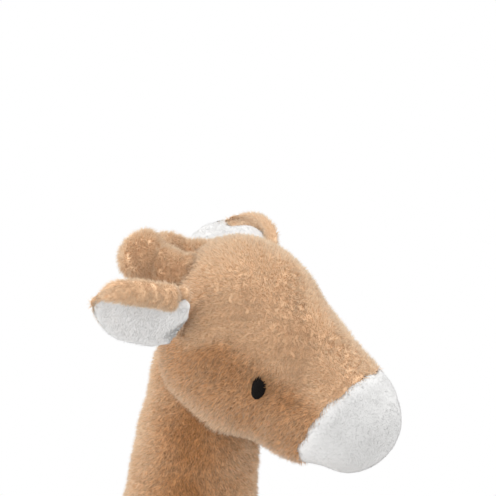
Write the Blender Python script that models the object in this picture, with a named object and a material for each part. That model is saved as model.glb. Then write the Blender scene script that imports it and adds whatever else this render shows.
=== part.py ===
"""Standing plush giraffe, sewn from short pile fabric and filled with loose fibre.

The toy faces -Y and stands on Z = 0. Every length is in metres. Each sewn skin is
a shell of fabric, and its filling is a solid of its own inside it. A skin ends in
an opening where it is sewn to its neighbour, and round seats there let it move.
"""

import math

import bmesh
import bpy
import numpy as np
from mathutils import Matrix, Vector

# Fabric with its pile, the gap that neighbours keep, and the reach of a cutter past what it cuts
FABRIC_THICKNESS = 0.003
SEAM_GAP = 0.0003
CUT_OVERRUN = 0.02

# Head: three balls under one tight skin, on an axis that dips towards the nose
HEAD_HEIGHT = 0.440
HEAD_FORWARD = 0.0779
HEAD_DIP_DEG = 36.6
CROWN_RADIUS = 0.044
CHEEK_RADIUS = 0.040
CHEEK_DROP = 0.018
MUZZLE_RADIUS = 0.0285
MUZZLE_REACH = 0.0692
MUZZLE_RISE = 0.0018
MUZZLE_SEAM_REACH = 0.0675
EYE_REACH = 0.0335
EYE_RISE_DEG = 6.0
EYE_LENGTH = 0.0122
EYE_WIDTH = 0.0066
EYE_THICKNESS = 0.0016
EYE_SLANT_DEG = 25.0

# Neck: a tapered tube, round at both ends, that leans back towards the shoulders
NECK_TOP_RADIUS = 0.0275
NECK_TOP_BACK = 0.0229
NECK_TOP_DROP = 0.030
NECK_LENGTH = 0.149
NECK_LEAN_DEG = 7.6
NECK_FOOT_RADIUS = 0.0435
NECK_BASE_RADIUS = 0.0455
NECK_RIM_DEG = 135.0
NOD_DOWN_DEG = 8.0
NOD_MARGIN_DEG = 4.0

# Body: chest, belly and rump balls under one skin
CHEST_BACK = 0.010
CHEST_DROP = 0.057
CHEST_RADIUS = 0.054
BELLY_BACK = 0.048
BELLY_DROP = 0.004
BELLY_RADIUS = 0.056
RUMP_BACK = 0.090
RUMP_RADIUS = 0.053
BODY_WIDTH_SHARE = 0.94

# Legs: hip ball, shank and a foot that swells over a flat sole
HIP_HEIGHT = 0.149
HIP_RADIUS = 0.027
HIP_SPREAD = 0.0295
FORELEG_BACK = -0.004
HINDLEG_BACK = 0.092
SHANK_RADIUS = 0.0245
ANKLE_RADIUS = 0.0215
FOOT_RADIUS = 0.0262
FOOT_HEIGHT = 0.040
FOOT_EDGE = 0.006
SOLE_THICKNESS = 0.003
SOLE_INSET = 0.0022

# Ears: a tan back with a rolled front edge, and a white lining
EAR_LENGTH = 0.0465
EAR_FULL_SHARE = 0.40
EAR_WIDTHS = {"right": 0.029, "left": 0.040}
EAR_ROOT_WIDTH = 0.020
EAR_SAG = 0.003
EAR_ROOT_RADIUS = 0.004
EAR_SETTLE = 0.0005
EAR_LAYER = 0.0032
EAR_ROLL_RADII = {"right": 0.006, "left": 0.0036}
EAR_CUP = 0.0045
EAR_LINING_START = 0.006
EAR_LINING_GAP = 0.0005
EAR_SEAT_SHARES = {"right": (-0.912, 0.240, 0.335), "left": (0.850, 0.410, 0.335)}
EAR_REACH_SHARES = {"right": (-0.740, 0.650, 0.130), "left": (0.725, 0.610, 0.345)}
EAR_SPREAD_SHARES = {"right": (0.060, 0.280, -0.958), "left": (-0.506, 0.830, -0.233)}

# Horns: a knob on a stem that lies back from the crown
HORN_LENGTH = 0.0215
HORN_ROOT_RADIUS = 0.008
HORN_ROOT_DEPTH = 0.0012
HORN_NECK_RADIUS = 0.0095
HORN_KNOB_RADIUS = 0.0132
HORN_FABRIC = 0.0025
HORN_WAIST_DEG = 66.0
HORN_RIM_DEG = 140.0
HORN_SEAT_SHARES = {"right": (-0.300, 0.650, 0.700), "left": (0.275, 0.695, 0.660)}
HORN_REACH_SHARES = {"right": (-0.110, 0.975, 0.177), "left": (0.000, 0.996, -0.090)}

# Tail: a thin stuffed cord with a tuft
TAIL_SEAT_DEG = 30.0
TAIL_HANG_DEG = 26.0
TAIL_RADIUS = 0.007
TAIL_END_RADIUS = 0.006
TAIL_LENGTH = 0.056
TUFT_LENGTH = 0.036
TUFT_RADIUS = 0.012

# Facets
HEAD_SIDES = 22
HEAD_STATIONS = 16
BODY_SIDES = 22
BODY_STATIONS = 13
NECK_SIDES = 20
LEG_SIDES = 14
SMALL_SIDES = 12
BALL_STEPS = 5
EAR_STATIONS = 9
ROLL_STEPS = 7
SOCKET_SIDES = 26
TANGENT_STEPS = 720

COLOURS = {
    "tan_plush": (0.560, 0.335, 0.180),
    "white_plush": (0.800, 0.790, 0.770),
    "eye_thread": (0.010, 0.008, 0.007),
    "stuffing": (0.850, 0.840, 0.810),
}


def clear_scene():
    """Remove the objects that the scene opens with."""
    for item in list(bpy.data.objects):
        bpy.data.objects.remove(item, do_unlink=True)


def make_material(name):
    """Return the rough fabric material of that name."""
    material = bpy.data.materials.get(name) or bpy.data.materials.new(name)
    material.use_nodes = True
    shader = material.node_tree.nodes["Principled BSDF"]
    shader.inputs["Base Color"].default_value = (*COLOURS[name], 1)
    shader.inputs["Roughness"].default_value = 0.9
    shader.inputs["Metallic"].default_value = 0.0
    return material


def unit(vector):
    """Return the vector at length one."""
    vector = np.asarray(vector, dtype=float)
    return vector / np.linalg.norm(vector)


def add_loft(name, rings, material=None, first_tip=None, last_tip=None, origin=(0, 0, 0)):
    """Bridge rings of points into one closed mesh.

    A tip closes an end with a fan. With no tips the last ring joins the first.
    """
    mesh = bmesh.new()
    loops = [[mesh.verts.new(point) for point in ring] for ring in rings]
    pairs = list(zip(loops, loops[1:]))
    if first_tip is None and last_tip is None:
        pairs.append((loops[-1], loops[0]))
    for near, far in pairs:
        for index, vertex in enumerate(near):
            following = (index + 1) % len(near)
            mesh.faces.new((vertex, near[following], far[following], far[index]))
    for tip, loop in ((first_tip, loops[0]), (last_tip, loops[-1])):
        if tip is None:
            continue
        apex = mesh.verts.new(tip)
        for index, vertex in enumerate(loop):
            mesh.faces.new((apex, vertex, loop[(index + 1) % len(loop)]))
    bmesh.ops.recalc_face_normals(mesh, faces=mesh.faces)
    bmesh.ops.translate(mesh, vec=-Vector(origin), verts=mesh.verts)
    data = bpy.data.meshes.new(name)
    mesh.to_mesh(data)
    mesh.free()
    data.shade_smooth()
    item = bpy.data.objects.new(name, data)
    item.location = origin
    bpy.context.collection.objects.link(item)
    if material:
        data.materials.append(make_material(material))
    return item


def as_cutter(item):
    """Mark an object as a cutter that is never part of the toy."""
    item.hide_render = True
    item.display_type = "WIRE"
    return item


def cut(item, cutters, operation="DIFFERENCE"):
    """Give the object one live Boolean for each cutter."""
    for cutter in cutters:
        modifier = item.modifiers.new(cutter.name, "BOOLEAN")
        modifier.operation = operation
        modifier.solver = "EXACT"
        modifier.object = cutter
    return item


def add_ball_cutter(name, centre, radius):
    """Return a ball whose flat facets all lie outside the given radius."""
    outer = radius / (math.cos(math.pi / SOCKET_SIDES) * math.cos(math.pi / SOCKET_SIDES))
    profile = arc(0, outer, 0, 180, SOCKET_SIDES // 2)[1:-1]
    rings = turn(profile, centre, (0, 0, 1), SOCKET_SIDES)
    low = Vector(centre) - Vector((0, 0, outer))
    high = Vector(centre) + Vector((0, 0, outer))
    return as_cutter(add_loft(name, rings, None, low, high))


def add_block_cutter(name, frame, low, high):
    """Return a box between two corners of a frame."""
    corners = [(low[1], low[2]), (high[1], low[2]), (high[1], high[2]), (low[1], high[2])]
    rings = [[frame @ Vector((along, side, up)) for side, up in corners] for along in (low[0], high[0])]
    middle = [(low[1] + high[1]) / 2, (low[2] + high[2]) / 2]
    tips = [frame @ Vector((along, *middle)) for along in (low[0], high[0])]
    return as_cutter(add_loft(name, rings, None, *tips))


def turn(profile, start, direction, sides):
    """Turn a profile of (distance, radius) pairs about an axis from the start."""
    axis = unit(direction)
    across = unit(np.cross(axis, (0, 1, 0) if abs(axis[1]) < 0.9 else (1, 0, 0)))
    third = np.cross(axis, across)
    angles = np.linspace(0, 2 * math.pi, sides, endpoint=False)
    spokes = np.outer(np.cos(angles), across) + np.outer(np.sin(angles), third)
    centres = np.asarray(start) + np.outer(profile[:, 0], axis)
    return centres[:, None, :] + profile[:, 1][:, None, None] * spokes[None, :, :]


def arc(centre, radius, first_deg, last_deg, steps):
    """Return the profile of a ball between two angles from its far pole."""
    angles = np.radians(np.linspace(first_deg, last_deg, steps + 1))
    return np.column_stack((centre - radius * np.cos(angles), radius * np.sin(angles)))


def inset_profile(profile, inset):
    """Move each point of a profile inwards, square to the profile."""
    slope = np.gradient(profile, axis=0)
    slope /= np.linalg.norm(slope, axis=1)[:, None]
    return profile + inset * np.column_stack((slope[:, 1], -slope[:, 0]))


def add_turned_pair(name, profile, start, direction, sides, wall, rim_index, slots, origin):
    """Make a skin that is open at its foot, and the filling inside it.

    The profile starts on its axis at the closed end and ends on its axis at the
    open one. The skin stops at the profile's rim point.
    """
    rim = profile[: rim_index + 1]
    inner = inset_profile(rim, wall)
    cap = Vector(start) + Vector(unit(direction)) * profile[0, 0]
    inner_cap = cap + Vector(unit(direction)) * wall
    walls = np.concatenate((rim[1:], inner[:0:-1]))
    rings = turn(walls, start, direction, sides)
    skin = add_loft(name + "_skin", rings, slots[0], cap, inner_cap, origin)
    core = inset_profile(profile, wall + SEAM_GAP)[1:-1]
    core_cap = inner_cap + Vector(unit(direction)) * SEAM_GAP
    foot = Vector(start) + Vector(unit(direction)) * (profile[-1, 0] - wall - SEAM_GAP)
    core_rings = turn(core, start, direction, sides)
    filling = add_loft(name + "_filling", core_rings, slots[1], core_cap, foot, origin)
    return skin, filling


def tangent_height(balls, along):
    """Height of the tight skin over a row of balls at each distance along the row.

    Each ball is (distance, height, radius). The skin is the lowest of all the
    tangent lines that pass over every ball.
    """
    angles = np.linspace(0, math.pi, TANGENT_STEPS + 1)[1:-1]
    balls = np.asarray(balls)
    support = np.max(
        np.outer(np.cos(angles), balls[:, 0]) + np.outer(np.sin(angles), balls[:, 1]) + balls[:, 2], axis=1
    )
    lines = (support[None, :] - np.outer(along, np.cos(angles))) / np.sin(angles)[None, :]
    return lines.min(axis=1)


def ball_skin(balls, frame, inset, sides, stations, width_share=1):
    """Return the rings and tips of the tight skin over a row of balls, less an inset."""
    shrunk = [(along, height, radius - inset) for along, height, radius in balls]
    first = min(along - radius for along, height, radius in shrunk)
    last = max(along + radius for along, height, radius in shrunk)
    middle = (first + last) / 2
    angles = np.linspace(0, math.pi, stations + 1)[1:-1]
    along = middle - (last - first) / 2 * np.cos(angles)
    top = tangent_height(shrunk, along)
    bottom = -tangent_height([(place, -height, radius) for place, height, radius in shrunk], along)
    side = tangent_height([(place, 0, radius) for place, height, radius in shrunk], along) * width_share
    turns = np.linspace(0, 2 * math.pi, sides, endpoint=False)
    local = np.stack(
        (
            np.repeat(along[:, None], sides, axis=1),
            side[:, None] * np.sin(turns),
            (top + bottom)[:, None] / 2 + (top - bottom)[:, None] / 2 * np.cos(turns),
        ),
        axis=2,
    )
    turned = np.array(frame)
    rings = local @ turned[:3, :3].T + turned[:3, 3]
    first_height = min(shrunk, key=lambda ball: ball[0] - ball[2])[1]
    last_height = max(shrunk, key=lambda ball: ball[0] + ball[2])[1]
    tips = (frame @ Vector((first, 0, first_height)), frame @ Vector((last, 0, last_height)))
    return rings, tips


def head_frame():
    """Frame at the crown's centre: X towards the nose, Y to the left side, Z over the brow."""
    dip = math.radians(HEAD_DIP_DEG)
    nose = Vector((0, -math.cos(dip), -math.sin(dip)))
    left = Vector((1, 0, 0))
    brow = nose.cross(left)
    turned = Matrix((nose, left, brow)).transposed().to_4x4()
    return Matrix.Translation((0, -HEAD_FORWARD, HEAD_HEIGHT)) @ turned


def head_balls():
    """Crown, cheeks and muzzle in the head's frame."""
    dip = math.radians(HEAD_DIP_DEG)
    return [
        (0, 0, CROWN_RADIUS),
        (CHEEK_DROP * math.sin(dip), -CHEEK_DROP * math.cos(dip), CHEEK_RADIUS),
        (MUZZLE_REACH, MUZZLE_RISE, MUZZLE_RADIUS),
    ]


def neck_pivot():
    """Centre of the neck's round top, where the head nods."""
    return Vector((0, NECK_TOP_BACK - HEAD_FORWARD, HEAD_HEIGHT - NECK_TOP_DROP))


def neck_direction():
    """Direction down the neck, from the head to the shoulders."""
    lean = math.radians(NECK_LEAN_DEG)
    return Vector((0, math.sin(lean), -math.cos(lean)))


def shoulder_pivot():
    """Centre of the neck's round base, where the neck leans."""
    return neck_pivot() + neck_direction() * NECK_LENGTH


def body_frame():
    """Frame at the chest's centre: X towards the rump, Y to the right side, Z up."""
    chest = shoulder_pivot() + Vector((0, CHEST_BACK, -CHEST_DROP))
    turned = Matrix(((0, 1, 0), (-1, 0, 0), (0, 0, 1))).transposed().to_4x4()
    return Matrix.Translation(chest) @ turned


def body_balls():
    """Chest, belly and rump in the body's frame."""
    return [
        (0, 0, CHEST_RADIUS),
        (BELLY_BACK, -BELLY_DROP, BELLY_RADIUS),
        (RUMP_BACK, 0, RUMP_RADIUS),
    ]


def hip_pivots():
    """Name and hip centre of each leg."""
    base = body_frame().translation.y
    return {
        f"{end}leg_{side}": Vector((sign * HIP_SPREAD, base + back, HIP_HEIGHT))
        for end, back in (("fore", FORELEG_BACK), ("hind", HINDLEG_BACK))
        for side, sign in (("right", -1), ("left", 1))
    }


def neck_profile():
    """Round top, tapered tube and round base of the neck, from the top down."""
    foot_deg = math.degrees(math.asin(NECK_FOOT_RADIUS / NECK_BASE_RADIUS))
    top = arc(0, NECK_TOP_RADIUS, 0, 90, BALL_STEPS)
    base = arc(NECK_LENGTH, NECK_BASE_RADIUS, foot_deg, NECK_RIM_DEG, BALL_STEPS)
    end = arc(NECK_LENGTH, NECK_BASE_RADIUS, NECK_RIM_DEG, 180, BALL_STEPS // 2)
    shares = np.linspace(0, 1, BALL_STEPS)[1:-1]
    tube = np.outer(1 - shares, top[-1]) + np.outer(shares, base[0])
    return np.concatenate((top, tube, base, end[1:])), len(top) + len(tube) + len(base) - 1


def add_neck():
    """Neck skin and filling."""
    profile, rim = neck_profile()
    return add_turned_pair(
        "neck",
        profile,
        neck_pivot(),
        neck_direction(),
        NECK_SIDES,
        FABRIC_THICKNESS,
        rim,
        ("tan_plush", "stuffing"),
        shoulder_pivot(),
    )


def add_neck_relief():
    """Room in the head for the neck: its round top, and the tube as the head nods down to it."""
    socket = add_ball_cutter("neck_socket", neck_pivot(), NECK_TOP_RADIUS + SEAM_GAP)
    swing = math.tan(math.radians(NOD_DOWN_DEG + NOD_MARGIN_DEG))
    down = neck_direction()
    front = Vector((0, down.z, -down.y))
    growth = (NECK_FOOT_RADIUS - NECK_TOP_RADIUS) / NECK_LENGTH
    grown = (NECK_TOP_RADIUS + SEAM_GAP) / math.cos(math.pi / NECK_SIDES)
    start = -NECK_TOP_RADIUS * math.sin(math.radians(NOD_DOWN_DEG))
    length = NECK_TOP_RADIUS + CHEEK_RADIUS + CUT_OVERRUN
    turns = np.linspace(0, 2 * math.pi, NECK_SIDES, endpoint=False)
    rings = []
    for distance in (start, length):
        half_sweep = swing * max(distance, 0) / 2
        reach = grown + growth * (distance - start)
        centre = neck_pivot() + down * distance + front * half_sweep
        rings.append(
            [
                centre + front * ((reach + half_sweep) * math.cos(angle)) + Vector((reach * math.sin(angle), 0, 0))
                for angle in turns
            ]
        )
    tips = (neck_pivot() + down * start, neck_pivot() + down * length)
    tube = as_cutter(add_loft("neck_path", rings, None, *tips))
    return [socket, tube]


def eye_frame(sign):
    """Frame of an eye: X along its length, Y across it, Z out of the cheek."""
    frame = head_frame()
    balls = head_balls()
    along = np.array([EYE_REACH])
    top = tangent_height(balls, along)[0]
    bottom = -tangent_height([(place, -height, radius) for place, height, radius in balls], along)[0]
    side = tangent_height([(place, 0, radius) for place, height, radius in balls], along)[0]
    rise = math.radians(EYE_RISE_DEG)
    height = (top + bottom) / 2 + (top - bottom) / 2 * math.sin(rise)
    centre = frame @ Vector((EYE_REACH, sign * side * math.cos(rise), height))
    taper = math.asin((CROWN_RADIUS - MUZZLE_RADIUS) / MUZZLE_REACH)
    outward = Vector(
        (math.sin(taper), sign * math.cos(taper) * math.cos(rise), math.cos(taper) * math.sin(rise))
    )
    outward = (frame.to_3x3() @ outward).normalized()
    slant = math.radians(EYE_SLANT_DEG)
    lengthwise = Vector((0, -math.sin(slant), math.cos(slant)))
    lengthwise = (lengthwise - outward * lengthwise.dot(outward)).normalized()
    crosswise = outward.cross(lengthwise)
    turned = Matrix((lengthwise, crosswise, outward)).transposed().to_4x4()
    return Matrix.Translation(centre) @ turned


def oval_rings(frame, levels):
    """Rings of an eye's oval in its frame, each level as (height, growth)."""
    turns = np.linspace(0, 2 * math.pi, SMALL_SIDES, endpoint=False)
    half_length = EYE_LENGTH / 2
    half_width = EYE_WIDTH / 2
    return [
        [
            frame @ Vector(((half_length + grow) * math.cos(a), (half_width + grow) * math.sin(a), height))
            for a in turns
        ]
        for height, grow in levels
    ]


def add_eye(side, sign):
    """Satin stitched eye, sunk in the pile, and the pocket it lies in."""
    frame = eye_frame(sign)
    floor = -EYE_THICKNESS / 2
    crown = EYE_THICKNESS / 2
    levels = [(floor, 0), (crown / 2, 0), (crown, -EYE_THICKNESS / 2)]
    rings = oval_rings(frame, levels)
    tips = (frame @ Vector((0, 0, floor)), frame @ Vector((0, 0, crown + SEAM_GAP)))
    add_loft(f"eye_{side}", rings, "eye_thread", *tips, frame.translation)
    depth = floor - SEAM_GAP
    reach = CUT_OVERRUN
    pocket_rings = oval_rings(frame, [(depth, SEAM_GAP), (reach, SEAM_GAP)])
    pocket_tips = (frame @ Vector((0, 0, depth)), frame @ Vector((0, 0, reach)))
    return as_cutter(add_loft(f"eye_pocket_{side}", pocket_rings, None, *pocket_tips))


def add_head():
    """Tan head skin, white muzzle skin and the filling that both hold."""
    frame = head_frame()
    balls = head_balls()
    far = CROWN_RADIUS + CUT_OVERRUN
    seam = MUZZLE_SEAM_REACH
    nose_end = MUZZLE_REACH + far
    front = add_block_cutter("muzzle_side", frame, (seam, -far, -far), (nose_end, far, far))
    back = add_block_cutter("head_side", frame, (-far, -far, -far), (seam + SEAM_GAP, far, far))
    rings, tips = ball_skin(balls, frame, FABRIC_THICKNESS, HEAD_SIDES, HEAD_STATIONS)
    hollow = as_cutter(add_loft("head_hollow", rings, None, *tips))
    relief = add_neck_relief()
    pockets = [add_eye(side, sign) for side, sign in (("right", -1), ("left", 1))]
    seats = [cutter for side in ("right", "left") for cutter in add_horn_seat(side)]
    rings, tips = ball_skin(balls, frame, 0, HEAD_SIDES, HEAD_STATIONS)
    skin = add_loft("head_skin", rings, "tan_plush", *tips, neck_pivot())
    cut(skin, [front, hollow, *relief, *pockets, *seats])
    muzzle = add_loft("muzzle_skin", rings, "white_plush", *tips, neck_pivot())
    cut(muzzle, [back, hollow])
    rings, tips = ball_skin(balls, frame, FABRIC_THICKNESS + SEAM_GAP, HEAD_SIDES, HEAD_STATIONS)
    filling = add_loft("head_filling", rings, "stuffing", *tips, neck_pivot())
    cut(filling, [*relief, *seats])


def add_body():
    """Body skin with its hip and neck openings, and the filling."""
    frame = body_frame()
    balls = body_balls()
    sockets = [
        add_ball_cutter(f"{name}_socket", pivot, HIP_RADIUS + SEAM_GAP)
        for name, pivot in hip_pivots().items()
    ]
    sockets.append(add_ball_cutter("neck_base_socket", shoulder_pivot(), NECK_BASE_RADIUS + SEAM_GAP))
    rings, tips = ball_skin(balls, frame, FABRIC_THICKNESS, BODY_SIDES, BODY_STATIONS, BODY_WIDTH_SHARE)
    hollow = as_cutter(add_loft("body_hollow", rings, None, *tips))
    rings, tips = ball_skin(balls, frame, 0, BODY_SIDES, BODY_STATIONS, BODY_WIDTH_SHARE)
    skin = add_loft("body_skin", rings, "tan_plush", *tips)
    cut(skin, [hollow, *sockets])
    inset = FABRIC_THICKNESS + SEAM_GAP
    rings, tips = ball_skin(balls, frame, inset, BODY_SIDES, BODY_STATIONS, BODY_WIDTH_SHARE)
    filling = add_loft("body_filling", rings, "stuffing", *tips)
    cut(filling, sockets)


def leg_profile():
    """Hip ball, shank, ankle and foot, from the top down to just above the sole."""
    length = HIP_HEIGHT - SOLE_THICKNESS - SEAM_GAP
    shank_deg = 180 - math.degrees(math.asin(SHANK_RADIUS / HIP_RADIUS))
    hip = arc(0, HIP_RADIUS, 0, shank_deg, BALL_STEPS)
    ankle = (length - FOOT_HEIGHT, ANKLE_RADIUS)
    foot_shares = np.linspace(0, 1, BALL_STEPS)[1:]
    swell = (1 - np.cos(math.pi * foot_shares)) / 2
    foot = np.column_stack(
        (
            ankle[0] + (FOOT_HEIGHT - FOOT_EDGE) * foot_shares,
            ANKLE_RADIUS + (FOOT_RADIUS - ANKLE_RADIUS) * swell,
        )
    )
    edge = (length, FOOT_RADIUS - SOLE_INSET / 2)
    shank = (hip[-1] + np.array(ankle)) / 2
    profile = np.concatenate((hip, [shank, ankle], foot, [edge]))
    return profile, length


def add_leg(name, pivot):
    """Leg skin, its filling and the flat sole under them."""
    profile, length = leg_profile()
    wall = FABRIC_THICKNESS
    inner = inset_profile(profile, wall)
    inner[-1, 0] = length
    down = Vector((0, 0, -1))
    walls = np.concatenate((profile[1:], inner[:0:-1]))
    cap = pivot - down * HIP_RADIUS
    rings = turn(walls, pivot, down, LEG_SIDES)
    add_loft(f"{name}_skin", rings, "tan_plush", cap, cap + down * wall, pivot)
    core = inset_profile(profile, wall + SEAM_GAP)
    core[-1, 0] = length
    rings = turn(core[1:], pivot, down, LEG_SIDES)
    tips = (cap + down * (wall + SEAM_GAP), pivot + down * length)
    add_loft(f"{name}_filling", rings, "stuffing", *tips, pivot)
    sole_radius = FOOT_RADIUS - SOLE_INSET
    levels = [(0, sole_radius - SOLE_INSET / 2), (SOLE_THICKNESS / 2, sole_radius), (SOLE_THICKNESS, sole_radius)]
    foot = Vector((pivot.x, pivot.y, 0))
    rings = turn(np.array(levels), foot, (0, 0, 1), LEG_SIDES)
    add_loft(f"{name}_sole", rings, "tan_plush", foot, foot + Vector((0, 0, SOLE_THICKNESS)), pivot)


def horn_profile():
    """Knob, tapered stem and round root of a horn, from the knob to the crown."""
    neck_deg = 180 - math.degrees(math.asin(HORN_NECK_RADIUS / HORN_KNOB_RADIUS))
    knob = arc(-HORN_LENGTH, HORN_KNOB_RADIUS, 0, neck_deg, BALL_STEPS)
    root = arc(0, HORN_ROOT_RADIUS, HORN_WAIST_DEG, HORN_RIM_DEG, BALL_STEPS - 1)
    end = arc(0, HORN_ROOT_RADIUS, HORN_RIM_DEG, 180, BALL_STEPS // 3)
    return np.concatenate((knob, root, end[1:])), len(knob) + len(root) - 1


def horn_pivot(side):
    """Centre of a horn's round root, just under the crown's surface."""
    crown = head_frame().translation
    return crown + Vector(unit(HORN_SEAT_SHARES[side])) * (CROWN_RADIUS - HORN_ROOT_DEPTH)


def add_horn_seat(side):
    """Cutters for a horn's seat: its round root, and the groove that its stem lies in at rest."""
    profile, rim = horn_profile()
    away = -Vector(unit(HORN_REACH_SHARES[side]))
    pivot = horn_pivot(side)
    grown = inset_profile(profile, -SEAM_GAP)
    tips = (pivot + away * grown[0, 0], pivot + away * grown[-1, 0])
    stem = as_cutter(add_loft(f"horn_{side}_path", turn(grown[1:-1], pivot, away, SMALL_SIDES), None, *tips))
    ball = add_ball_cutter(f"horn_{side}_socket", pivot, HORN_ROOT_RADIUS + SEAM_GAP)
    return [stem, ball]


def add_horn(side):
    """Horn skin and filling."""
    profile, rim = horn_profile()
    away = -Vector(unit(HORN_REACH_SHARES[side]))
    slots = ("tan_plush", "stuffing")
    pivot = horn_pivot(side)
    add_turned_pair(f"horn_{side}", profile, pivot, away, SMALL_SIDES, HORN_FABRIC, rim, slots, pivot)


def ear_frame(side):
    """Frame of an ear at its root: X to the tip, Y from the rolled edge to the free one, Z out of the lining.

    The line of its root, along Y, passes just clear of the crown.
    """
    crown = head_frame().translation
    seat = Vector(unit(EAR_SEAT_SHARES[side]))
    reach = Vector(unit(EAR_REACH_SHARES[side]))
    spread = Vector(EAR_SPREAD_SHARES[side])
    spread = (spread - reach * spread.dot(reach)).normalized()
    clear = CROWN_RADIUS + EAR_ROOT_RADIUS + SEAM_GAP - EAR_SETTLE
    root = crown + seat * (clear / math.sqrt(1 - spread.dot(seat) ** 2))
    face = reach.cross(spread)
    turned = Matrix((reach, spread, face)).transposed().to_4x4()
    return Matrix.Translation(root) @ turned


def ear_half_width(side, place):
    """Half the ear's width at a place along it: root width, a full middle and a round tip."""
    share = place / EAR_LENGTH
    root = EAR_ROOT_WIDTH / 2
    opening = math.sin(min(max(share / EAR_FULL_SHARE, 0), 1) * math.pi / 2)
    past = max((share - EAR_FULL_SHARE) / (1 - EAR_FULL_SHARE), 0)
    return (root + (EAR_WIDTHS[side] / 2 - root) * opening) * math.sqrt(max(1 - past**2, 0))


def ear_thickness(place):
    """Thickness of the ear's back: round about the root's axis, then down to one layer."""
    if place < 0:
        return 2 * math.sqrt(EAR_ROOT_RADIUS**2 - place**2)
    share = min(place / EAR_LINING_START, 1)
    tip = math.sqrt(max(1 - (place / EAR_LENGTH) ** 8, 0))
    return (2 * EAR_ROOT_RADIUS + (EAR_LAYER - 2 * EAR_ROOT_RADIUS) * share) * tip


def ear_roll(side, place):
    """Radius of the rolled edge: part of the root there, full beyond it, small at the tip."""
    thickness = ear_thickness(place)
    share = min(max(place / EAR_LINING_START, 0), 1)
    tip = math.sqrt(max(1 - max(place / EAR_LENGTH, 0) ** 4, 0))
    return max(thickness / 2, share * EAR_ROLL_RADII[side] * tip)


def ear_cup(side, place, across):
    """How far the ear's sheet stands forward, towards both edges."""
    share = min(max(place / EAR_LENGTH, 0), 1)
    return EAR_CUP * math.sin(share * math.pi / 2) * (across / (EAR_WIDTHS[side] / 2)) ** 2


def ear_sag(place):
    """How far the ear hangs towards its free edge: most near the root, nothing at the root and the tip."""
    return EAR_SAG * math.sin(math.sqrt(min(max(place / EAR_LENGTH, 0), 1)) * math.pi)


def ear_back_ring(side, place):
    """Outline of the tan back across the ear: a sheet with a round roll on its first edge."""
    half = ear_half_width(side, place)
    layer = ear_thickness(place)
    roll = ear_roll(side, place)
    start = -half
    middle = ear_cup(side, place, start) - layer / 2 + roll
    inner = start + roll
    front = ear_cup(side, place, inner) + layer / 2
    last_turn = min(2 * math.pi - math.acos(max((middle - front) / roll, -1)), 3 * math.pi / 2)
    far_side = np.linspace(half, start, ROLL_STEPS)
    behind = [(across, ear_cup(side, place, across) - layer / 2) for across in far_side]
    turns = np.linspace(0, last_turn, ROLL_STEPS + 2)[1:]
    curl = [(start - roll * math.sin(a), middle - roll * math.cos(a)) for a in turns]
    near_side = np.linspace(inner, half, ROLL_STEPS)
    before = [(across, ear_cup(side, place, across) + layer / 2) for across in near_side]
    sag = ear_sag(place)
    return [(place, across + sag, face) for across, face in behind + curl + before]


def ear_lining_ring(side, place):
    """Outline of the white lining across the ear, in front of the back and beside its roll."""
    inner = -ear_half_width(side, place) + ear_roll(side, place) + EAR_LINING_GAP
    outer = ear_half_width(side, place) - EAR_LINING_GAP
    low = ear_thickness(place) / 2 + EAR_LINING_GAP
    rise = math.sqrt(max(1 - ((place - EAR_LENGTH / 2) / (EAR_LENGTH / 2)) ** 6, 0))
    outline = []
    for share in np.linspace(0, 1, ROLL_STEPS):
        across = inner + (outer - inner) * share
        outline.append((across, ear_cup(side, place, across) + low))
    for share in np.linspace(1, 0, ROLL_STEPS):
        across = inner + (outer - inner) * share
        swell = math.sqrt(max(1 - (2 * share - 1) ** 4, 0)) * rise
        outline.append((across, ear_cup(side, place, across) + low + EAR_LAYER * (1 + swell) / 2))
    sag = ear_sag(place)
    return [(place, across + sag, face) for across, face in outline]


def add_ear(side):
    """Tan back and white lining of an ear."""
    frame = ear_frame(side)
    root = [-EAR_ROOT_RADIUS * math.cos(a) for a in np.radians((25, 55, 90))]
    sweep = np.linspace(math.asin(EAR_LINING_START / EAR_LENGTH), math.pi / 2, EAR_STATIONS)
    blade = EAR_LENGTH * np.sin(sweep)[:-1]
    rings = [[frame @ Vector(point) for point in ear_back_ring(side, place)] for place in (*root, *blade)]
    tips = (frame @ Vector((-EAR_ROOT_RADIUS, 0, 0)), frame @ Vector((EAR_LENGTH, 0, 0)))
    add_loft(f"ear_{side}_back", rings, "tan_plush", *tips, frame.translation)
    rings = [[frame @ Vector(point) for point in ear_lining_ring(side, place)] for place in blade[:-1]]
    ends = []
    for place in (blade[0] - EAR_LINING_GAP, blade[-1]):
        across = ear_roll(side, place) / 2
        height = ear_cup(side, place, across) + ear_thickness(place) / 2 + EAR_LINING_GAP + EAR_LAYER / 2
        ends.append(frame @ Vector((place, across + ear_sag(place), height)))
    add_loft(f"ear_{side}_lining", rings, "white_plush", *ends, frame.translation)


def tail_frame():
    """Centre of the tail's round root against the rump, and the direction it hangs in."""
    rump = body_frame() @ Vector((RUMP_BACK, 0, 0))
    seat = math.radians(TAIL_SEAT_DEG)
    out = Vector((0, math.cos(seat), math.sin(seat)))
    hang = math.radians(TAIL_HANG_DEG)
    return rump + out * (RUMP_RADIUS + TAIL_RADIUS + SEAM_GAP), Vector((0, math.sin(hang), -math.cos(hang)))


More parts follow.
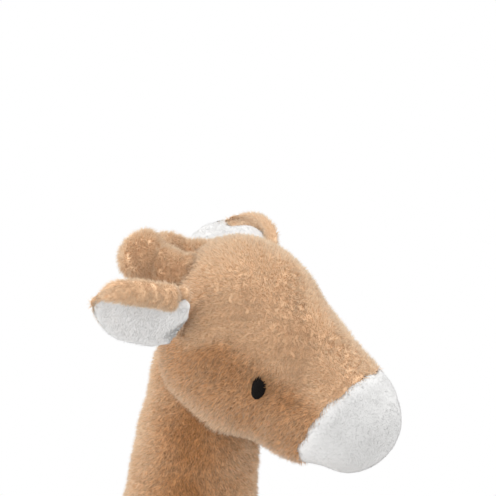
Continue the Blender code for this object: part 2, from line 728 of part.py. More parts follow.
def add_tail():
    """Stuffed tail cord and the tuft sewn to its end."""
    root, down = tail_frame()
    top = arc(0, TAIL_RADIUS, 0, 90, BALL_STEPS // 2)
    end = arc(TAIL_LENGTH, TAIL_END_RADIUS, 90, 180, BALL_STEPS // 2)
    profile = np.concatenate((top, end))
    tips = (root + down * profile[0, 0], root + down * profile[-1, 0])
    add_loft("tail_cord", turn(profile[1:-1], root, down, SMALL_SIDES), "tan_plush", *tips, root)
    start = TAIL_LENGTH + TAIL_END_RADIUS + SEAM_GAP
    shares = np.linspace(0, 1, BALL_STEPS + 2)[1:-1]
    swell = np.sin(math.pi * shares**0.8)
    tuft = np.column_stack((start + TUFT_LENGTH * shares, TUFT_RADIUS * swell))
    tips = (root + down * start, root + down * (start + TUFT_LENGTH))
    add_loft("tail_tuft", turn(tuft, root, down, SMALL_SIDES), "tan_plush", *tips, root)


def build():
    """Make every piece of the toy."""
    clear_scene()
    add_body()
    add_neck()
    add_head()
    for name, pivot in hip_pivots().items():
        add_leg(name, pivot)
    for side in ("right", "left"):
        add_ear(side)
        add_horn(side)
    add_tail()


build()
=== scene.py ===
"""Looks of the standing plush giraffe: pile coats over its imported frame, and a plain studio.

Every coat is a closed surface worked out on a grid, set a little inside the frame's solid, with
tapered fibres planted on it whose tips reach the solid's surface. Lengths are in metres, the toy
faces -Y, and its right side is -X.
"""

import logging
import math
from collections.abc import Callable
from dataclasses import dataclass, replace
from enum import Enum
from typing import ClassVar

import bpy
import numpy as np
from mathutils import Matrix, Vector

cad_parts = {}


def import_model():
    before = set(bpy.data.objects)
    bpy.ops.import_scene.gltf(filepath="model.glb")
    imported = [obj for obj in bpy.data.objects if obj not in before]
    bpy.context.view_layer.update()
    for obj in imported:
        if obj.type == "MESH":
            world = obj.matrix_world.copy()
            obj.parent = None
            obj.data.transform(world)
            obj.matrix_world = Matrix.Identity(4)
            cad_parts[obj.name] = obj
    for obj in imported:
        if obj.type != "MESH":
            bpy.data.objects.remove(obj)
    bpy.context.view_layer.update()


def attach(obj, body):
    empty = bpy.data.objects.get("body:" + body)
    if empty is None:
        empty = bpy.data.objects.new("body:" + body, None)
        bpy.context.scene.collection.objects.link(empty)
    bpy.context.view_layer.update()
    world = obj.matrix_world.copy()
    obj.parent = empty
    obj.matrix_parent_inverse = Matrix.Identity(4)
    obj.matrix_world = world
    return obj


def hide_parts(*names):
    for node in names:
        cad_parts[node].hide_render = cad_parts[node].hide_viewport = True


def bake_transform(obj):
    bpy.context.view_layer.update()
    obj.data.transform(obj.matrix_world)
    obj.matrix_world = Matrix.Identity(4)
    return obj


LOG = logging.getLogger("giraffe")
UV_NAME = "OFBake"
THREAD_UV = "Thread"

Socket = bpy.types.NodeSocket
# Says from points how far the pile is darkened, by a tone and by painted shade.
ToneAndShade = Callable[[np.ndarray], np.ndarray]
BareTest = Callable[[np.ndarray, np.ndarray], np.ndarray]

# Play between two pieces that meet, and how deep in another form a fibre's tip is left out.
SEAM_GAP = 0.0003
SINK = 0.006
HEAD_SINK = 0.005

# Cloth simulation: every which row and column, how many frames, and how far a point may move.
CLOTH_STEP = 3
CLOTH_FRAMES = 20
CLOTH_LIMIT = 0.0016

# The balls and marks that head, neck and body are drawn over.
CROWN = np.array((0.0, -0.0779, 0.440))
CROWN_RADIUS = 0.044
CHEEK_RADIUS = 0.040
MUZZLE_RADIUS = 0.0285
MUZZLE_REACH = 0.0692
NECK_TOP = np.array((0.0, -0.0550, 0.410))
NECK_LEAN = math.radians(7.6)
NECK_DOWN = np.array((0.0, math.sin(NECK_LEAN), -math.cos(NECK_LEAN)))
NECK_LENGTH = 0.149
NECK_TOP_RADIUS = 0.0275
NECK_FOOT_RADIUS = 0.0435
NECK_BASE_RADIUS = 0.0455
SHOULDER = NECK_TOP + NECK_DOWN * NECK_LENGTH
CHEST = SHOULDER + np.array((0.0, 0.010, -0.057))
CHEST_RADIUS = 0.054
BELLY_BACK, BELLY_DROP, BELLY_RADIUS = 0.048, -0.004, 0.056
RUMP_BACK, RUMP_RADIUS = 0.090, 0.053
BODY_WIDTH_SHARE = 0.94
HIP_HEIGHT = 0.149


class Side(Enum):
    """Side of the toy, with the sign of its X."""

    RIGHT = -1
    LEFT = 1

    @property
    def word(self) -> str:
        """The side's name as the frame's nodes spell it."""
        return self.name.lower()


class End(Enum):
    """Which pair a leg belongs to, with its Y behind the chest's centre."""

    FORE = -0.004
    HIND = 0.092

    @property
    def word(self) -> str:
        """The pair's name as the frame's nodes spell it."""
        return self.name.lower()


def unit(vectors: np.ndarray) -> np.ndarray:
    """Vectors of length one in the same directions."""
    vectors = np.asarray(vectors, float)
    length = np.linalg.norm(vectors, axis=-1, keepdims=True)
    return vectors / np.maximum(length, 1e-12)


def flat_part(vectors: np.ndarray, normals: np.ndarray) -> np.ndarray:
    """The part of each vector that lies along a surface with those normals, of length one."""
    along = np.sum(vectors * normals, axis=-1, keepdims=True)
    return unit(vectors - normals * along)


def around(count: int) -> np.ndarray:
    """Angles at even steps round a full turn."""
    return np.arange(count) * 2 * math.pi / count


def placed(name: str, data: bpy.types.ID) -> bpy.types.Object:
    """A new object with the data, linked to the scene."""
    item = bpy.data.objects.new(name, data)
    bpy.context.scene.collection.objects.link(item)
    return item


def ripple(points: np.ndarray, wavelength: float, seed: int) -> np.ndarray:
    """A smooth random vector at each point: a sum of sine waves with random headings.

    Args:
        points: Points, with the last axis of three.
        wavelength: Mean distance between crests.
        seed: Seed of the headings and phases.

    Returns:
        One vector for each point, each part of about unit spread.
    """
    waves = 9
    rng = np.random.default_rng(seed)
    headings = unit(rng.normal(size=(waves, 3)))
    rates = 2 * math.pi / (wavelength * rng.uniform(0.7, 1.4, waves))
    phases = rng.uniform(0, 2 * math.pi, waves)
    sways = rng.normal(size=(waves, 3))
    waved = np.sin(points @ (headings * rates[:, None]).T + phases)
    return waved @ sways * math.sqrt(2 / waves)


@dataclass
class Surface:
    """A closed skin on a grid. Rows run from tip to tip, and columns go round."""

    points: np.ndarray

    @classmethod
    def from_rings(cls, rings: np.ndarray, first: np.ndarray, last: np.ndarray) -> "Surface":
        """Close rings with a tip at each end, and turn them so that the normals point outwards.

        Args:
            rings: Array of rows, columns and three.
            first: Tip before the first ring.
            last: Tip after the last ring.

        Returns:
            The closed surface.
        """
        count = rings.shape[1]
        tips = [np.broadcast_to(np.asarray(tip, float), (1, count, 3)) for tip in (first, last)]
        surface = cls(np.concatenate((tips[0], rings, tips[1])))
        across, down = surface.steps()
        volume = np.sum(np.cross(across, down) * (surface.points - surface.points.mean(axis=(0, 1))))
        if volume < 0:
            surface = cls(surface.points[:, ::-1].copy())
        return surface

    def steps(self) -> tuple[np.ndarray, np.ndarray]:
        """Steps round the rows and along the columns at each grid point."""
        across = np.roll(self.points, -1, axis=1) - np.roll(self.points, 1, axis=1)
        return across, np.gradient(self.points, axis=0)

    def normals(self) -> np.ndarray:
        """Outward normals, each the cross product of the two steps, with the tips' averaged."""
        across, down = self.steps()
        normals = np.cross(across, down)
        normals[0] = unit(normals[1]).mean(axis=0)
        normals[-1] = unit(normals[-2]).mean(axis=0)
        return unit(normals)

    def raised(self, heights: np.ndarray) -> "Surface":
        """The surface with each point moved along its normal by its height."""
        return Surface(self.points + self.normals() * np.asarray(heights)[..., None])

    def waves(self, height: float, wavelength: float, seed: int) -> np.ndarray:
        """Heights of a slow ripple at the grid points."""
        return height * ripple(self.points, wavelength, seed)[..., 0]

    def smoothed(self, passes: int) -> "Surface":
        """The surface with its rings eased towards their neighbours' mean, tips left alone.

        Args:
            passes: How many times each point goes half of the way to that mean.

        Returns:
            The eased surface.
        """
        points = self.points.copy()
        for _ in range(passes):
            beside = (np.roll(points, 1, axis=1) + np.roll(points, -1, axis=1))[1:-1]
            along = points[:-2] + points[2:]
            points[1:-1] += ((beside + along) / 4 - points[1:-1]) / 2
        return Surface(points)

    def corners(self) -> np.ndarray:
        """Grid points as a list of vertices, with one vertex at each tip."""
        rings = self.points[1:-1].reshape(-1, 3)
        return np.concatenate((self.points[0, :1], rings, self.points[-1, :1]))

    def faces(self) -> tuple[np.ndarray, np.ndarray]:
        """Corner numbers of the triangles at the tips and of the quads between the rings."""
        rows, columns = self.points.shape[0] - 2, self.points.shape[1]
        here = np.arange(columns)
        beside = (here + 1) % columns
        starts = 1 + np.arange(rows - 1)[:, None] * columns
        quads = np.stack(
            (starts + here, starts + beside, starts + columns + beside, starts + columns + here), axis=2
        )
        final = 1 + (rows - 1) * columns
        top = np.stack((np.zeros(columns, int), 1 + beside, 1 + here), axis=1)
        foot = np.stack((final + here, final + beside, np.full(columns, final + columns)), axis=1)
        return np.concatenate((top, foot)), quads.reshape(-1, 4)

    def face_places(self) -> tuple[np.ndarray, np.ndarray]:
        """Places on the unrolled grid of the corners of those triangles and quads.

        Returns:
            Places for the triangles, three to a row, and for the quads, four to a row.
        """

        def spots(sides: tuple[np.ndarray, ...], levels: tuple[np.ndarray, ...]) -> np.ndarray:
            """Corners of each face, from where they lie round the grid and down it."""
            pairs = [np.stack(np.broadcast_arrays(*pair), axis=-1) for pair in zip(sides, levels)]
            return np.stack(pairs, axis=-2)

        rows, columns = self.points.shape[:2]
        here = np.arange(columns) / columns
        beside = here + 1 / columns
        middle = (here + beside) / 2
        levels = np.arange(rows) / (rows - 1)
        top = spots((middle, beside, here), levels[[0, 1, 1]])
        foot = spots((here, beside, middle), levels[[-2, -2, -1]])
        low, high = levels[1:-2, None], levels[2:-1, None]
        belt = spots((here, beside, beside, here), (low, low, high, high))
        return np.concatenate((top, foot)), belt.reshape(-1, 4, 2)

    def scatter(self, per_area: float, rows: tuple[float, float], seed: int) -> tuple[np.ndarray, ...]:
        """Spread points evenly by area over the skin.

        Each point is a bilinear mix of its cell's four corners, and cells are drawn by their area.

        Args:
            per_area: Points a square metre.
            rows: First and last share of the rows that carry points.
            seed: Seed of the draw.

        Returns:
            Points, normals and places on the unrolled grid.
        """
        rng = np.random.default_rng(seed)
        count, columns = self.points.shape[:2]
        first, last = (int(round(share * (count - 1))) for share in rows)
        grid, normals = self.points[first : last + 1], self.normals()[first : last + 1]
        wrapped = np.concatenate((grid, grid[:, :1]), axis=1)
        wrapped_normals = np.concatenate((normals, normals[:, :1]), axis=1)
        cut_across = wrapped[1:, 1:] - wrapped[:-1, :-1]
        cut_back = wrapped[1:, :-1] - wrapped[:-1, 1:]
        areas = np.linalg.norm(np.cross(cut_across, cut_back), axis=2).ravel() / 2
        total = np.cumsum(areas)
        number = int(total[-1] * per_area)
        draws = (np.arange(number) + rng.random(number)) / number * total[-1]
        cells = np.minimum(np.searchsorted(total, draws), len(total) - 1)
        row, column = np.divmod(cells, columns)
        down, side = rng.random((2, number, 1))
        weights = ((1 - down) * (1 - side), (1 - down) * side, down * (1 - side), down * side)
        picks = ((row, column), (row, column + 1), (row + 1, column), (row + 1, column + 1))
        points = sum(weight * wrapped[pick] for weight, pick in zip(weights, picks))
        leans = sum(weight * wrapped_normals[pick] for weight, pick in zip(weights, picks))
        places = np.stack(
            ((column + side[:, 0]) / columns, (first + row + down[:, 0]) / (count - 1)), axis=1
        )
        return points, unit(leans), places


@dataclass(frozen=True)
class Pile:
    """Sewn fabric's pile: how long, thick and close its fibres are, and how they lie.

    The nap is the way that they lean, unrest the share of the sway that neighbours have in common,
    tangle each fibre's own, and depth how far its root goes into the skin.
    """

    length: float
    width: float
    per_mm2: float
    lean_deg: float
    nap: tuple[float, float, float]
    unrest: float = 0.35
    tangle: float = 0.25
    swirl_size: float = 0.0045
    depth: float = 0.0006
    seed: int = 1

    def fibres(self, roots: np.ndarray, normals: np.ndarray) -> tuple[np.ndarray, np.ndarray]:
        """Fibres as slender spikes with three sides.

        Each fibre leans from the normal towards the nap. Its heading gets a smooth sway, which is
        the same for near neighbours and so gathers them in locks, and a small one of its own.

        Args:
            roots: Where the fibres leave the skin.
            normals: The skin's normals there.

        Returns:
            Vertices, four to a fibre with its tip last, and the corner numbers of its triangles.
        """
        rng = np.random.default_rng(self.seed + 7)
        lean = math.radians(self.lean_deg)
        sway = ripple(roots, self.swirl_size, self.seed)
        sway = sway + 0.6 * ripple(roots, self.swirl_size * 4, self.seed + 3)
        heading = flat_part(np.asarray(self.nap) + sway * self.unrest, normals)
        own = rng.normal(size=roots.shape) * self.tangle
        aim = unit(normals * math.cos(lean) + heading * math.sin(lean) + own)
        under = np.sum(aim * normals, axis=1, keepdims=True)
        aim = unit(aim + normals * np.maximum(0.12 - under, 0))
        lengths = self.length * rng.uniform(0.72, 1.18, (len(roots), 1))
        side = unit(np.cross(aim, rng.normal(size=roots.shape)))
        other = np.cross(aim, side)
        base = roots - normals * self.depth
        ring = [base + (side * math.cos(a) + other * math.sin(a)) * self.width / 2 for a in around(3)]
        vertices = np.stack((*ring, base + aim * lengths), axis=1).reshape(-1, 3)
        starts = np.arange(len(roots))[:, None] * 4
        corners = np.array(((0, 1, 3), (1, 2, 3), (2, 0, 3)))
        return vertices, (starts[:, None, :] + corners[None, :, :]).reshape(-1, 3)


@dataclass(frozen=True)
class NodeBench:
    """Adds nodes to a tree, and links or sets their inputs."""

    tree: bpy.types.NodeTree

    def feed(self, node: bpy.types.Node, inputs: dict[str | int, Socket | float | tuple]) -> None:
        """Link each input that is given a socket, and set each that is given a value.

        Args:
            node: The node.
            inputs: A socket or a value for each of its inputs, by name or number.
        """
        for title, given in inputs.items():
            if isinstance(given, Socket):
                self.tree.links.new(given, node.inputs[title])
            else:
                node.inputs[title].default_value = given

    def add(
        self,
        kind: str,
        inputs: dict[str | int, Socket | float | tuple] | None = None,
        **settings: str | bool | bpy.types.ID,
    ) -> bpy.types.Node:
        """Add a node.

        Args:
            kind: Its type, after "ShaderNode".
            inputs: A socket or a value for each of its inputs, by name or number.
            settings: Its own settings, which are made first.

        Returns:
            The node.
        """
        node = self.tree.nodes.new(f"ShaderNode{kind}")
        for title, setting in settings.items():
            setattr(node, title, setting)
        self.feed(node, inputs or {})
        return node

    def math(self, operation: str, *values: Socket | float, clamped: bool = False) -> Socket:
        """Result of a Math node on sockets or numbers.

        Args:
            operation: What it works out.
            values: Sockets or numbers that it works on.
            clamped: Whether it is kept between 0 and 1.

        Returns:
            The result.
        """
        node = self.add("Math", dict(enumerate(values)), operation=operation, use_clamp=clamped)
        return node.outputs[0]

    def mix(self, amount: Socket, first: Socket | tuple, second: Socket | tuple) -> Socket:
        """Mix of two colours by an amount."""
        node = self.add("Mix", {"Factor": amount, "A": first, "B": second}, data_type="RGBA")
        return node.outputs["Result"]

    def show(self, output: str, amount: Socket, first: bpy.types.Node, second: bpy.types.Node) -> None:
        """Give the output node a mix of two shaders by an amount."""
        mixed = self.add("MixShader", {0: amount, 1: first.outputs[0], 2: second.outputs[0]})
        self.feed(self.tree.nodes[output], {"Surface": mixed.outputs[0]})

    def seen(self) -> Socket:
        """1 for rays from the camera, off gloss or through glass, and 0 for rays that light things."""
        path = self.add("LightPath").outputs
        glossy = self.math("MAXIMUM", path["Is Camera Ray"], path["Is Glossy Ray"])
        return self.math("MAXIMUM", glossy, path["Is Transmission Ray"])


@dataclass(frozen=True)
class PileShade:
    """Node group that gives the colour of the pile: dark at the root, which is painted shade between the
    fibres, pale at the tip, and mottled.

    Each noise has a scale and a detail. The spots run from 0 to 1 over a range of the broad one, and
    the swing of the fibres' shades is a slope and a start on the amount of painted shade.
    """

    name: str = "pile_shade"
    broad: tuple[float, float] = (45, 2)
    fine: tuple[float, float] = (420, 3)
    spot_range: tuple[float, float] = (0.38, 0.62)
    tip_power: float = 0.8
    swing: tuple[float, float] = (2.2, 0.3)

    def group(self) -> bpy.types.NodeTree:
        """Build the group once and return it.

        The colour runs from Root to Tip by a power of the fibre's tip share; the dark root is painted
        shade between the fibres. It turns to Patch in broad noisy spots and where a coat
        paints shade or a darker tone on, and it is made lighter or darker fibre by fibre, most where shade
        is painted.

        Returns:
            The group.
        """
        made = bpy.data.node_groups.get(self.name)
        if made:
            return made
        tree = bpy.data.node_groups.new(self.name, "ShaderNodeTree")
        colour, number = "NodeSocketColor", "NodeSocketFloat"
        inputs = {"Root": colour, "Tip": colour, "Patch": colour, "Mottle": number, "Fibre": number}
        for title, kind in inputs.items():
            tree.interface.new_socket(title, in_out="INPUT", socket_type=kind)
        for title, kind in {"Color": colour, "Height": number}.items():
            tree.interface.new_socket(title, in_out="OUTPUT", socket_type=kind)
        bench = NodeBench(tree)
        given = tree.nodes.new("NodeGroupInput").outputs
        result = tree.nodes.new("NodeGroupOutput")
        spot = bench.add("TexCoord").outputs["Object"]
        share, tone_and_shade, own = (
            bench.add("Attribute", attribute_name=title).outputs["Fac"]
            for title in ("tip_share", "darker_tone_and_shade", "own_shade")
        )
        broad, fine = (
            bench.add("TexNoise", {"Scale": scale, "Detail": detail, "Vector": spot}).outputs["Fac"]
            for scale, detail in (self.broad, self.fine)
        )
        # Root to tip: the dark root is painted shade between the fibres.
        blended = bench.mix(bench.math("POWER", share, self.tip_power), given["Root"], given["Tip"])
        least, most = self.spot_range
        spots = bench.add("MapRange", {"From Min": least, "From Max": most, "Value": broad})
        amount = bench.math("MULTIPLY", spots.outputs["Result"], given["Mottle"])
        # Painted shade: the colour goes to Patch where a coat paints shade on, as well as in random spots.
        mottled_and_shaded = bench.mix(bench.math("ADD", amount, tone_and_shade, clamped=True), blended, given["Patch"])
        swing, grain = (
            bench.math("MULTIPLY", bench.math("SUBTRACT", value, 0.5), given["Fibre"])
            for value in (own, fine)
        )
        # Painted shade: the fibres' light and dark swing grows where shade is painted.
        swing_by_shade = bench.math("MULTIPLY_ADD", tone_and_shade, *self.swing)
        shift = bench.math("MULTIPLY", bench.math("ADD", swing, grain), swing_by_shade)
        level = bench.math("ADD", shift, 1)
        shaded = bench.add("VectorMath", {0: mottled_and_shaded, "Scale": level}, operation="SCALE")
        bench.feed(result, {"Color": shaded.outputs[0], "Height": fine})
        return tree


@dataclass(frozen=True)
class Finish:
    """A finish: its material and the slot that it belongs to."""

    name: str
    slot: str

    def material(self) -> bpy.types.Material:
        """Build the material once and return it."""
        made = bpy.data.materials.get(self.name)
        if made:
            return made
        made = bpy.data.materials.new(self.name)
        made.use_nodes = True
        self.wire(NodeBench(made.node_tree), made.node_tree.nodes["Principled BSDF"])
        return made

    def wire(self, bench: NodeBench, shader: bpy.types.Node) -> None:
        """Set the shader up. Each kind of finish does this in its own way."""
        raise NotImplementedError


@dataclass(frozen=True)
class PlushFinish(Finish):
    """Pile fabric: a matte fibre with a soft sheen. Its root colour is painted shade between the fibres,
    and its mottle-and-shade colour serves both random mottle and painted shade.
    """

    root: tuple[float, float, float]
    tip: tuple[float, float, float]
    patch: tuple[float, float, float]
    mottle: float
    fibre: float
    sheen: float
    sheen_tint: tuple[float, float, float]

    def wire(self, bench: NodeBench, shader: bpy.types.Node) -> None:
        """Give the shader the pile's shade and its fine bumps.

        Args:
            bench: Bench on the material's tree.
            shader: The shader.
        """
        inputs = {
            "Root": (*self.root, 1),
            "Tip": (*self.tip, 1),
            "Patch": (*self.patch, 1),
            "Mottle": self.mottle,
            "Fibre": self.fibre,
        }
        shade = bench.add("Group", inputs, node_tree=PileShade().group()).outputs
        bump = bench.add("Bump", {"Strength": 0.35, "Distance": 0.0006, "Height": shade["Height"]})
        settings = {
            "Base Color": shade["Color"],
            "Normal": bump.outputs["Normal"],
            "Roughness": 0.88,
            "Specular IOR Level": 0.15,
            "Sheen Weight": self.sheen,
            "Sheen Roughness": 0.45,
            "Sheen Tint": (*self.sheen_tint, 1),
        }
        bench.feed(shader, settings)


@dataclass(frozen=True)
class ThreadFinish(Finish):
    """Dark embroidery thread, with the fine twist of its plies along each stitch."""

    colour: tuple[float, float, float]
    glint: tuple[float, float, float]

    def wire(self, bench: NodeBench, shader: bpy.types.Node) -> None:
        """Give the shader slanting bands on the thread's own map, in colour and as bumps.

        Args:
            bench: Bench on the material's tree.
            shader: The shader.
        """
        spot = bench.add("UVMap", uv_map=THREAD_UV).outputs["UV"]
        waves = {"Scale": 9, "Distortion": 1.5, "Vector": spot}
        plies = bench.add("TexWave", waves, bands_direction="DIAGONAL").outputs["Fac"]
        bump = bench.add("Bump", {"Strength": 0.5, "Distance": 0.0001, "Height": plies})
        settings = {
            "Base Color": bench.mix(plies, (*self.colour, 1), (*self.glint, 1)),
            "Normal": bump.outputs["Normal"],
            "Roughness": 0.6,
            "Specular IOR Level": 0.08,
        }
        bench.feed(shader, settings)


# Root colours: painted shade between the fibres. Mottle-and-shade colours: random mottle and painted
# shade.
TAN = PlushFinish(
    "tan_pile",
    "tan_plush",
    root=(0.58, 0.285, 0.120),
    tip=(0.98, 0.760, 0.530),
    patch=(0.50, 0.245, 0.098),
    mottle=0.16,
    fibre=0.46,
    sheen=0.5,
    sheen_tint=(1.0, 0.88, 0.74),
)
WHITE = PlushFinish(
    "white_pile",
    "white_plush",
    root=(0.67, 0.664, 0.656),
    tip=(0.76, 0.754, 0.746),
    patch=(0.555, 0.551, 0.544),
    mottle=0.3,
    fibre=0.04,
    sheen=0.4,
    sheen_tint=(1.0, 1.0, 1.0),
)
THREAD = ThreadFinish(
    "dark_thread", "eye_thread", colour=(0.004, 0.003, 0.0025), glint=(0.009, 0.007, 0.006)
)


def mesh_object(
    name: str,
    vertices: np.ndarray,
    triangles: np.ndarray,
    quads: np.ndarray,
    places: tuple[np.ndarray, np.ndarray],
    material: bpy.types.Material,
    uv_name: str = UV_NAME,
    values: dict[str, np.ndarray] | None = None,
) -> bpy.types.Object:
    """Put arrays into a smooth shaded mesh object.

    Args:
        name: Name of the piece.
        vertices: Points.
        triangles: Corner numbers, three to a row.
        quads: Corner numbers, four to a row.
        places: Places on the UV map of the triangles' corners and of the quads' corners.
        material: Finish of the whole piece.
        uv_name: Name of the UV map.
        values: Named values for the material, one to a point.

    Returns:
        The new object, at the origin.
    """
    mesh = bpy.data.meshes.new(name)
    loops = np.concatenate((triangles.ravel(), quads.ravel())).astype(np.int32)
    ends = 3 * len(triangles)
    starts = np.concatenate((np.arange(len(triangles)) * 3, ends + np.arange(len(quads)) * 4))
    mesh.vertices.add(len(vertices))
    mesh.vertices.foreach_set("co", vertices.astype(np.float32).ravel())
    mesh.loops.add(len(loops))
    mesh.loops.foreach_set("vertex_index", loops)
    mesh.polygons.add(len(starts))
    mesh.polygons.foreach_set("loop_start", starts.astype(np.int32))
    mesh.polygons.foreach_set("use_smooth", np.ones(len(starts), bool))
    mesh.update(calc_edges=True)
    spread = np.concatenate((places[0].reshape(-1, 2), places[1].reshape(-1, 2)))
    layer = mesh.uv_layers.new(name=uv_name)
    layer.data.foreach_set("uv", spread.astype(np.float32).ravel())
    for title, numbers in (values or {}).items():
        attribute = mesh.attributes.new(title, "FLOAT", "POINT")
        attribute.data.foreach_set("value", numbers.astype(np.float32))
    mesh.materials.append(material)
    LOG.info("%s: %d triangles", name, len(triangles) + 2 * len(quads))
    return placed(name, mesh)


@dataclass(frozen=True)
class Bend:
    """Where a coat crosses a joint: the body on each side, and the marks start and end between them."""

    first: str
    second: str
    start: np.ndarray
    end: np.ndarray


def dressed(
    piece: bpy.types.Object, rides: str | Bend, nodes: tuple[str, ...], slot: str
) -> bpy.types.Object:
    """Attach a piece to its body, or fix it in place where it crosses a joint, and hide the solids that it
    stands for.

    Args:
        piece: The piece.
        rides: Body that it is attached to, or a Bend, for which it is fixed in place instead.
        nodes: Solids that it stands for.
        slot: Not used.

    Returns:
        The piece.
    """
    if isinstance(rides, Bend):
        tuple(rides.start)
        tuple(rides.end)
        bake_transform(piece)
    else:
        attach(piece, rides)
    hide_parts(*nodes)
    return piece


def evenly(amount: float) -> ToneAndShade:
    """A function for coat() that gives the pile the same darker tone everywhere."""
    return lambda points: np.full(len(points), amount)


def coat(
    name: str,
    surface: Surface,
    piles: list[tuple[Pile, tuple[float, float]]],
    finish: Finish,
    rides: str | Bend,
    nodes: tuple[str, ...],
    bare: tuple[BareTest, ...] = (),
    tone_and_painted_shade: ToneAndShade = evenly(0.25),
    skin_tone: float = 0.55,
) -> bpy.types.Object:
    """Make one coat: its skin and the fibres planted on it, as one piece.

    Args:
        name: Name of the piece.
        surface: Its skin.
        piles: Each pile with the share of the rows that it grows on.
        finish: Finish of skin and fibres.
        rides: Body that it is attached to, or a Bend, for which it is fixed in place.
        nodes: Solids that it stands for.
        bare: Tests that take roots and tips and say which fibres to leave out.
        tone_and_painted_shade: Says from points how much darker the pile there is, by its tone and by any
            painted shade.
        skin_tone: How light the skin itself is, from a fibre's root to its tip.

    Returns:
        The coat.
    """
    skin = surface.corners()
    triangles, quads = surface.faces()
    tip_places, quad_places = surface.face_places()
    vertices, faces, places, tone_and_shade = [skin], [triangles], [tip_places], [tone_and_painted_shade(skin)]
    tip_share, own_shade = [np.full(len(skin), skin_tone)], [np.full(len(skin), 0.5)]
    total = len(skin)
    for pile, rows in piles:
        roots, normals, spots = surface.scatter(pile.per_mm2 * 1e6, rows, pile.seed)
        points, corners = pile.fibres(roots, normals)
        keep = np.ones(len(roots), bool)
        for test in bare:
            keep &= ~test(roots, points[3::4])
        points = points.reshape(-1, 4, 3)[keep].reshape(-1, 3)
        spots = spots[keep]
        shades = np.random.default_rng(pile.seed + 11).random(len(spots))
        vertices.append(points)
        faces.append(corners[: 3 * len(spots)] + total)
        places.append(np.repeat(spots, 3, axis=0)[:, None, :].repeat(3, axis=1))
        # How far each fibre is darkened, by tone and by painted shade.
        tone_and_shade.append(np.repeat(tone_and_painted_shade(points[::4]), 4))
        tip_share.append(np.tile((0.0, 0.0, 0.0, 1.0), len(spots)))
        own_shade.append(np.repeat(shades, 4))
        total += len(points)
    values = {"tip_share": tip_share, "own_shade": own_shade, "darker_tone_and_shade": tone_and_shade}
    piece = mesh_object(
        name,
        np.concatenate(vertices),
        np.concatenate(faces),
        quads,
        (np.concatenate(places), quad_places),
        finish.material(),
        values={title: np.concatenate(parts) for title, parts in values.items()},
    )
    return dressed(piece, rides, nodes, finish.slot)


@dataclass
class Balls:
    """A chain of balls, used to tell what lies inside a stuffed form."""

    centres: np.ndarray
    radii: np.ndarray
    width_share: float = 1.0

    @classmethod
    def along(cls, marks: list[tuple[np.ndarray, float]], width_share: float = 1.0) -> "Balls":
        """Balls at even steps between marks.

        Args:
            marks: Centre and radius of each mark.
            width_share: The form's width over its height.

        Returns:
            Seven balls to each gap.
        """
        centres, radii = [], []
        for (here, wide), (there, wide_there) in zip(marks[:-1], marks[1:]):
            for share in np.linspace(0, 1, 7):
                centres.append(np.asarray(here) * (1 - share) + np.asarray(there) * share)
                radii.append(wide * (1 - share) + wide_there * share)
        return cls(np.array(centres), np.array(radii), width_share)

    def hold(self, points: np.ndarray, margin: float) -> np.ndarray:
        """Which points lie in the balls.

        Args:
            points: Points to test.
            margin: How much smaller each ball is made.

        Returns:
            True for each point that lies in one.
        """
        shape = np.array((1 / self.width_share, 1, 1))
        inside = np.zeros(len(points), bool)
        for centre, radius in zip(self.centres, self.radii):
            inside |= np.linalg.norm((points - centre) * shape, axis=1) < radius - margin
        return inside


@dataclass
class BallSkin:
    """The tight skin over a row of balls.

    A ball is its distance along the row, its height and its radius. At each distance the skin's
    top is the lowest of the tangent lines that pass over every ball, its foot and side are found
    the same way, and the ring there is the oval through them.
    """

    balls: list[tuple[float, float, float]]
    origin: np.ndarray
    ahead: np.ndarray
    aside: np.ndarray
    inset: float = 0.0
    width_share: float = 1.0

    def __post_init__(self) -> None:
        """Work out the ends and the tables of heights."""
        self.up = np.cross(self.ahead, self.aside)
        balls = np.array(self.balls) - (0, 0, self.inset)
        self.first = float(np.min(balls[:, 0] - balls[:, 2]))
        self.last = float(np.max(balls[:, 0] + balls[:, 2]))
        self.first_height = balls[np.argmin(balls[:, 0] - balls[:, 2]), 1]
        self.last_height = balls[np.argmax(balls[:, 0] + balls[:, 2]), 1]
        self.table = (self.first + self.last) / 2 - (self.last - self.first) / 2 * np.cos(
            np.linspace(0, math.pi, 801)[1:-1]
        )
        turned = balls * (1, -1, 1)
        level = balls * (1, 0, 1)
        self.tops = self.tangent_height(balls)
        self.feet = -self.tangent_height(turned)
        self.sides = self.tangent_height(level) * self.width_share

    def tangent_height(self, balls: np.ndarray) -> np.ndarray:
        """Lowest of the tangent lines over the balls, at each distance of the table.

        A line at an angle touches the balls at the most of x cos + y sin + radius.

        Args:
            balls: Rows of distance, height and radius.

        Returns:
            Height at each distance of the table.
        """
        angles = np.linspace(0, math.pi, 721)[1:-1]
        reach = np.outer(np.cos(angles), balls[:, 0]) + np.outer(np.sin(angles), balls[:, 1])
        support = np.max(reach + balls[:, 2], axis=1)
        lines = (support[None, :] - np.outer(self.table, np.cos(angles))) / np.sin(angles)[None, :]
        return lines.min(axis=1)

    def place(self, distance: float, height: float) -> np.ndarray:
        """World place of a distance and height in the skin's middle plane."""
        return self.origin + self.ahead * distance + self.up * height

    def points(self, distances: np.ndarray, turns: np.ndarray) -> np.ndarray:
        """World points on the skin.

        Args:
            distances: Distances along the row.
            turns: Turns round it, 0 being the top.

        Returns:
            One point for each pair.
        """
        tables = (self.tops, self.feet, self.sides)
        top, foot, side = (np.interp(distances, self.table, row) for row in tables)
        rise = (top + foot) / 2 + (top - foot) / 2 * np.cos(turns)
        reach = side * np.sin(turns)
        point = self.origin + distances[..., None] * self.ahead + reach[..., None] * self.aside
        return point + rise[..., None] * self.up


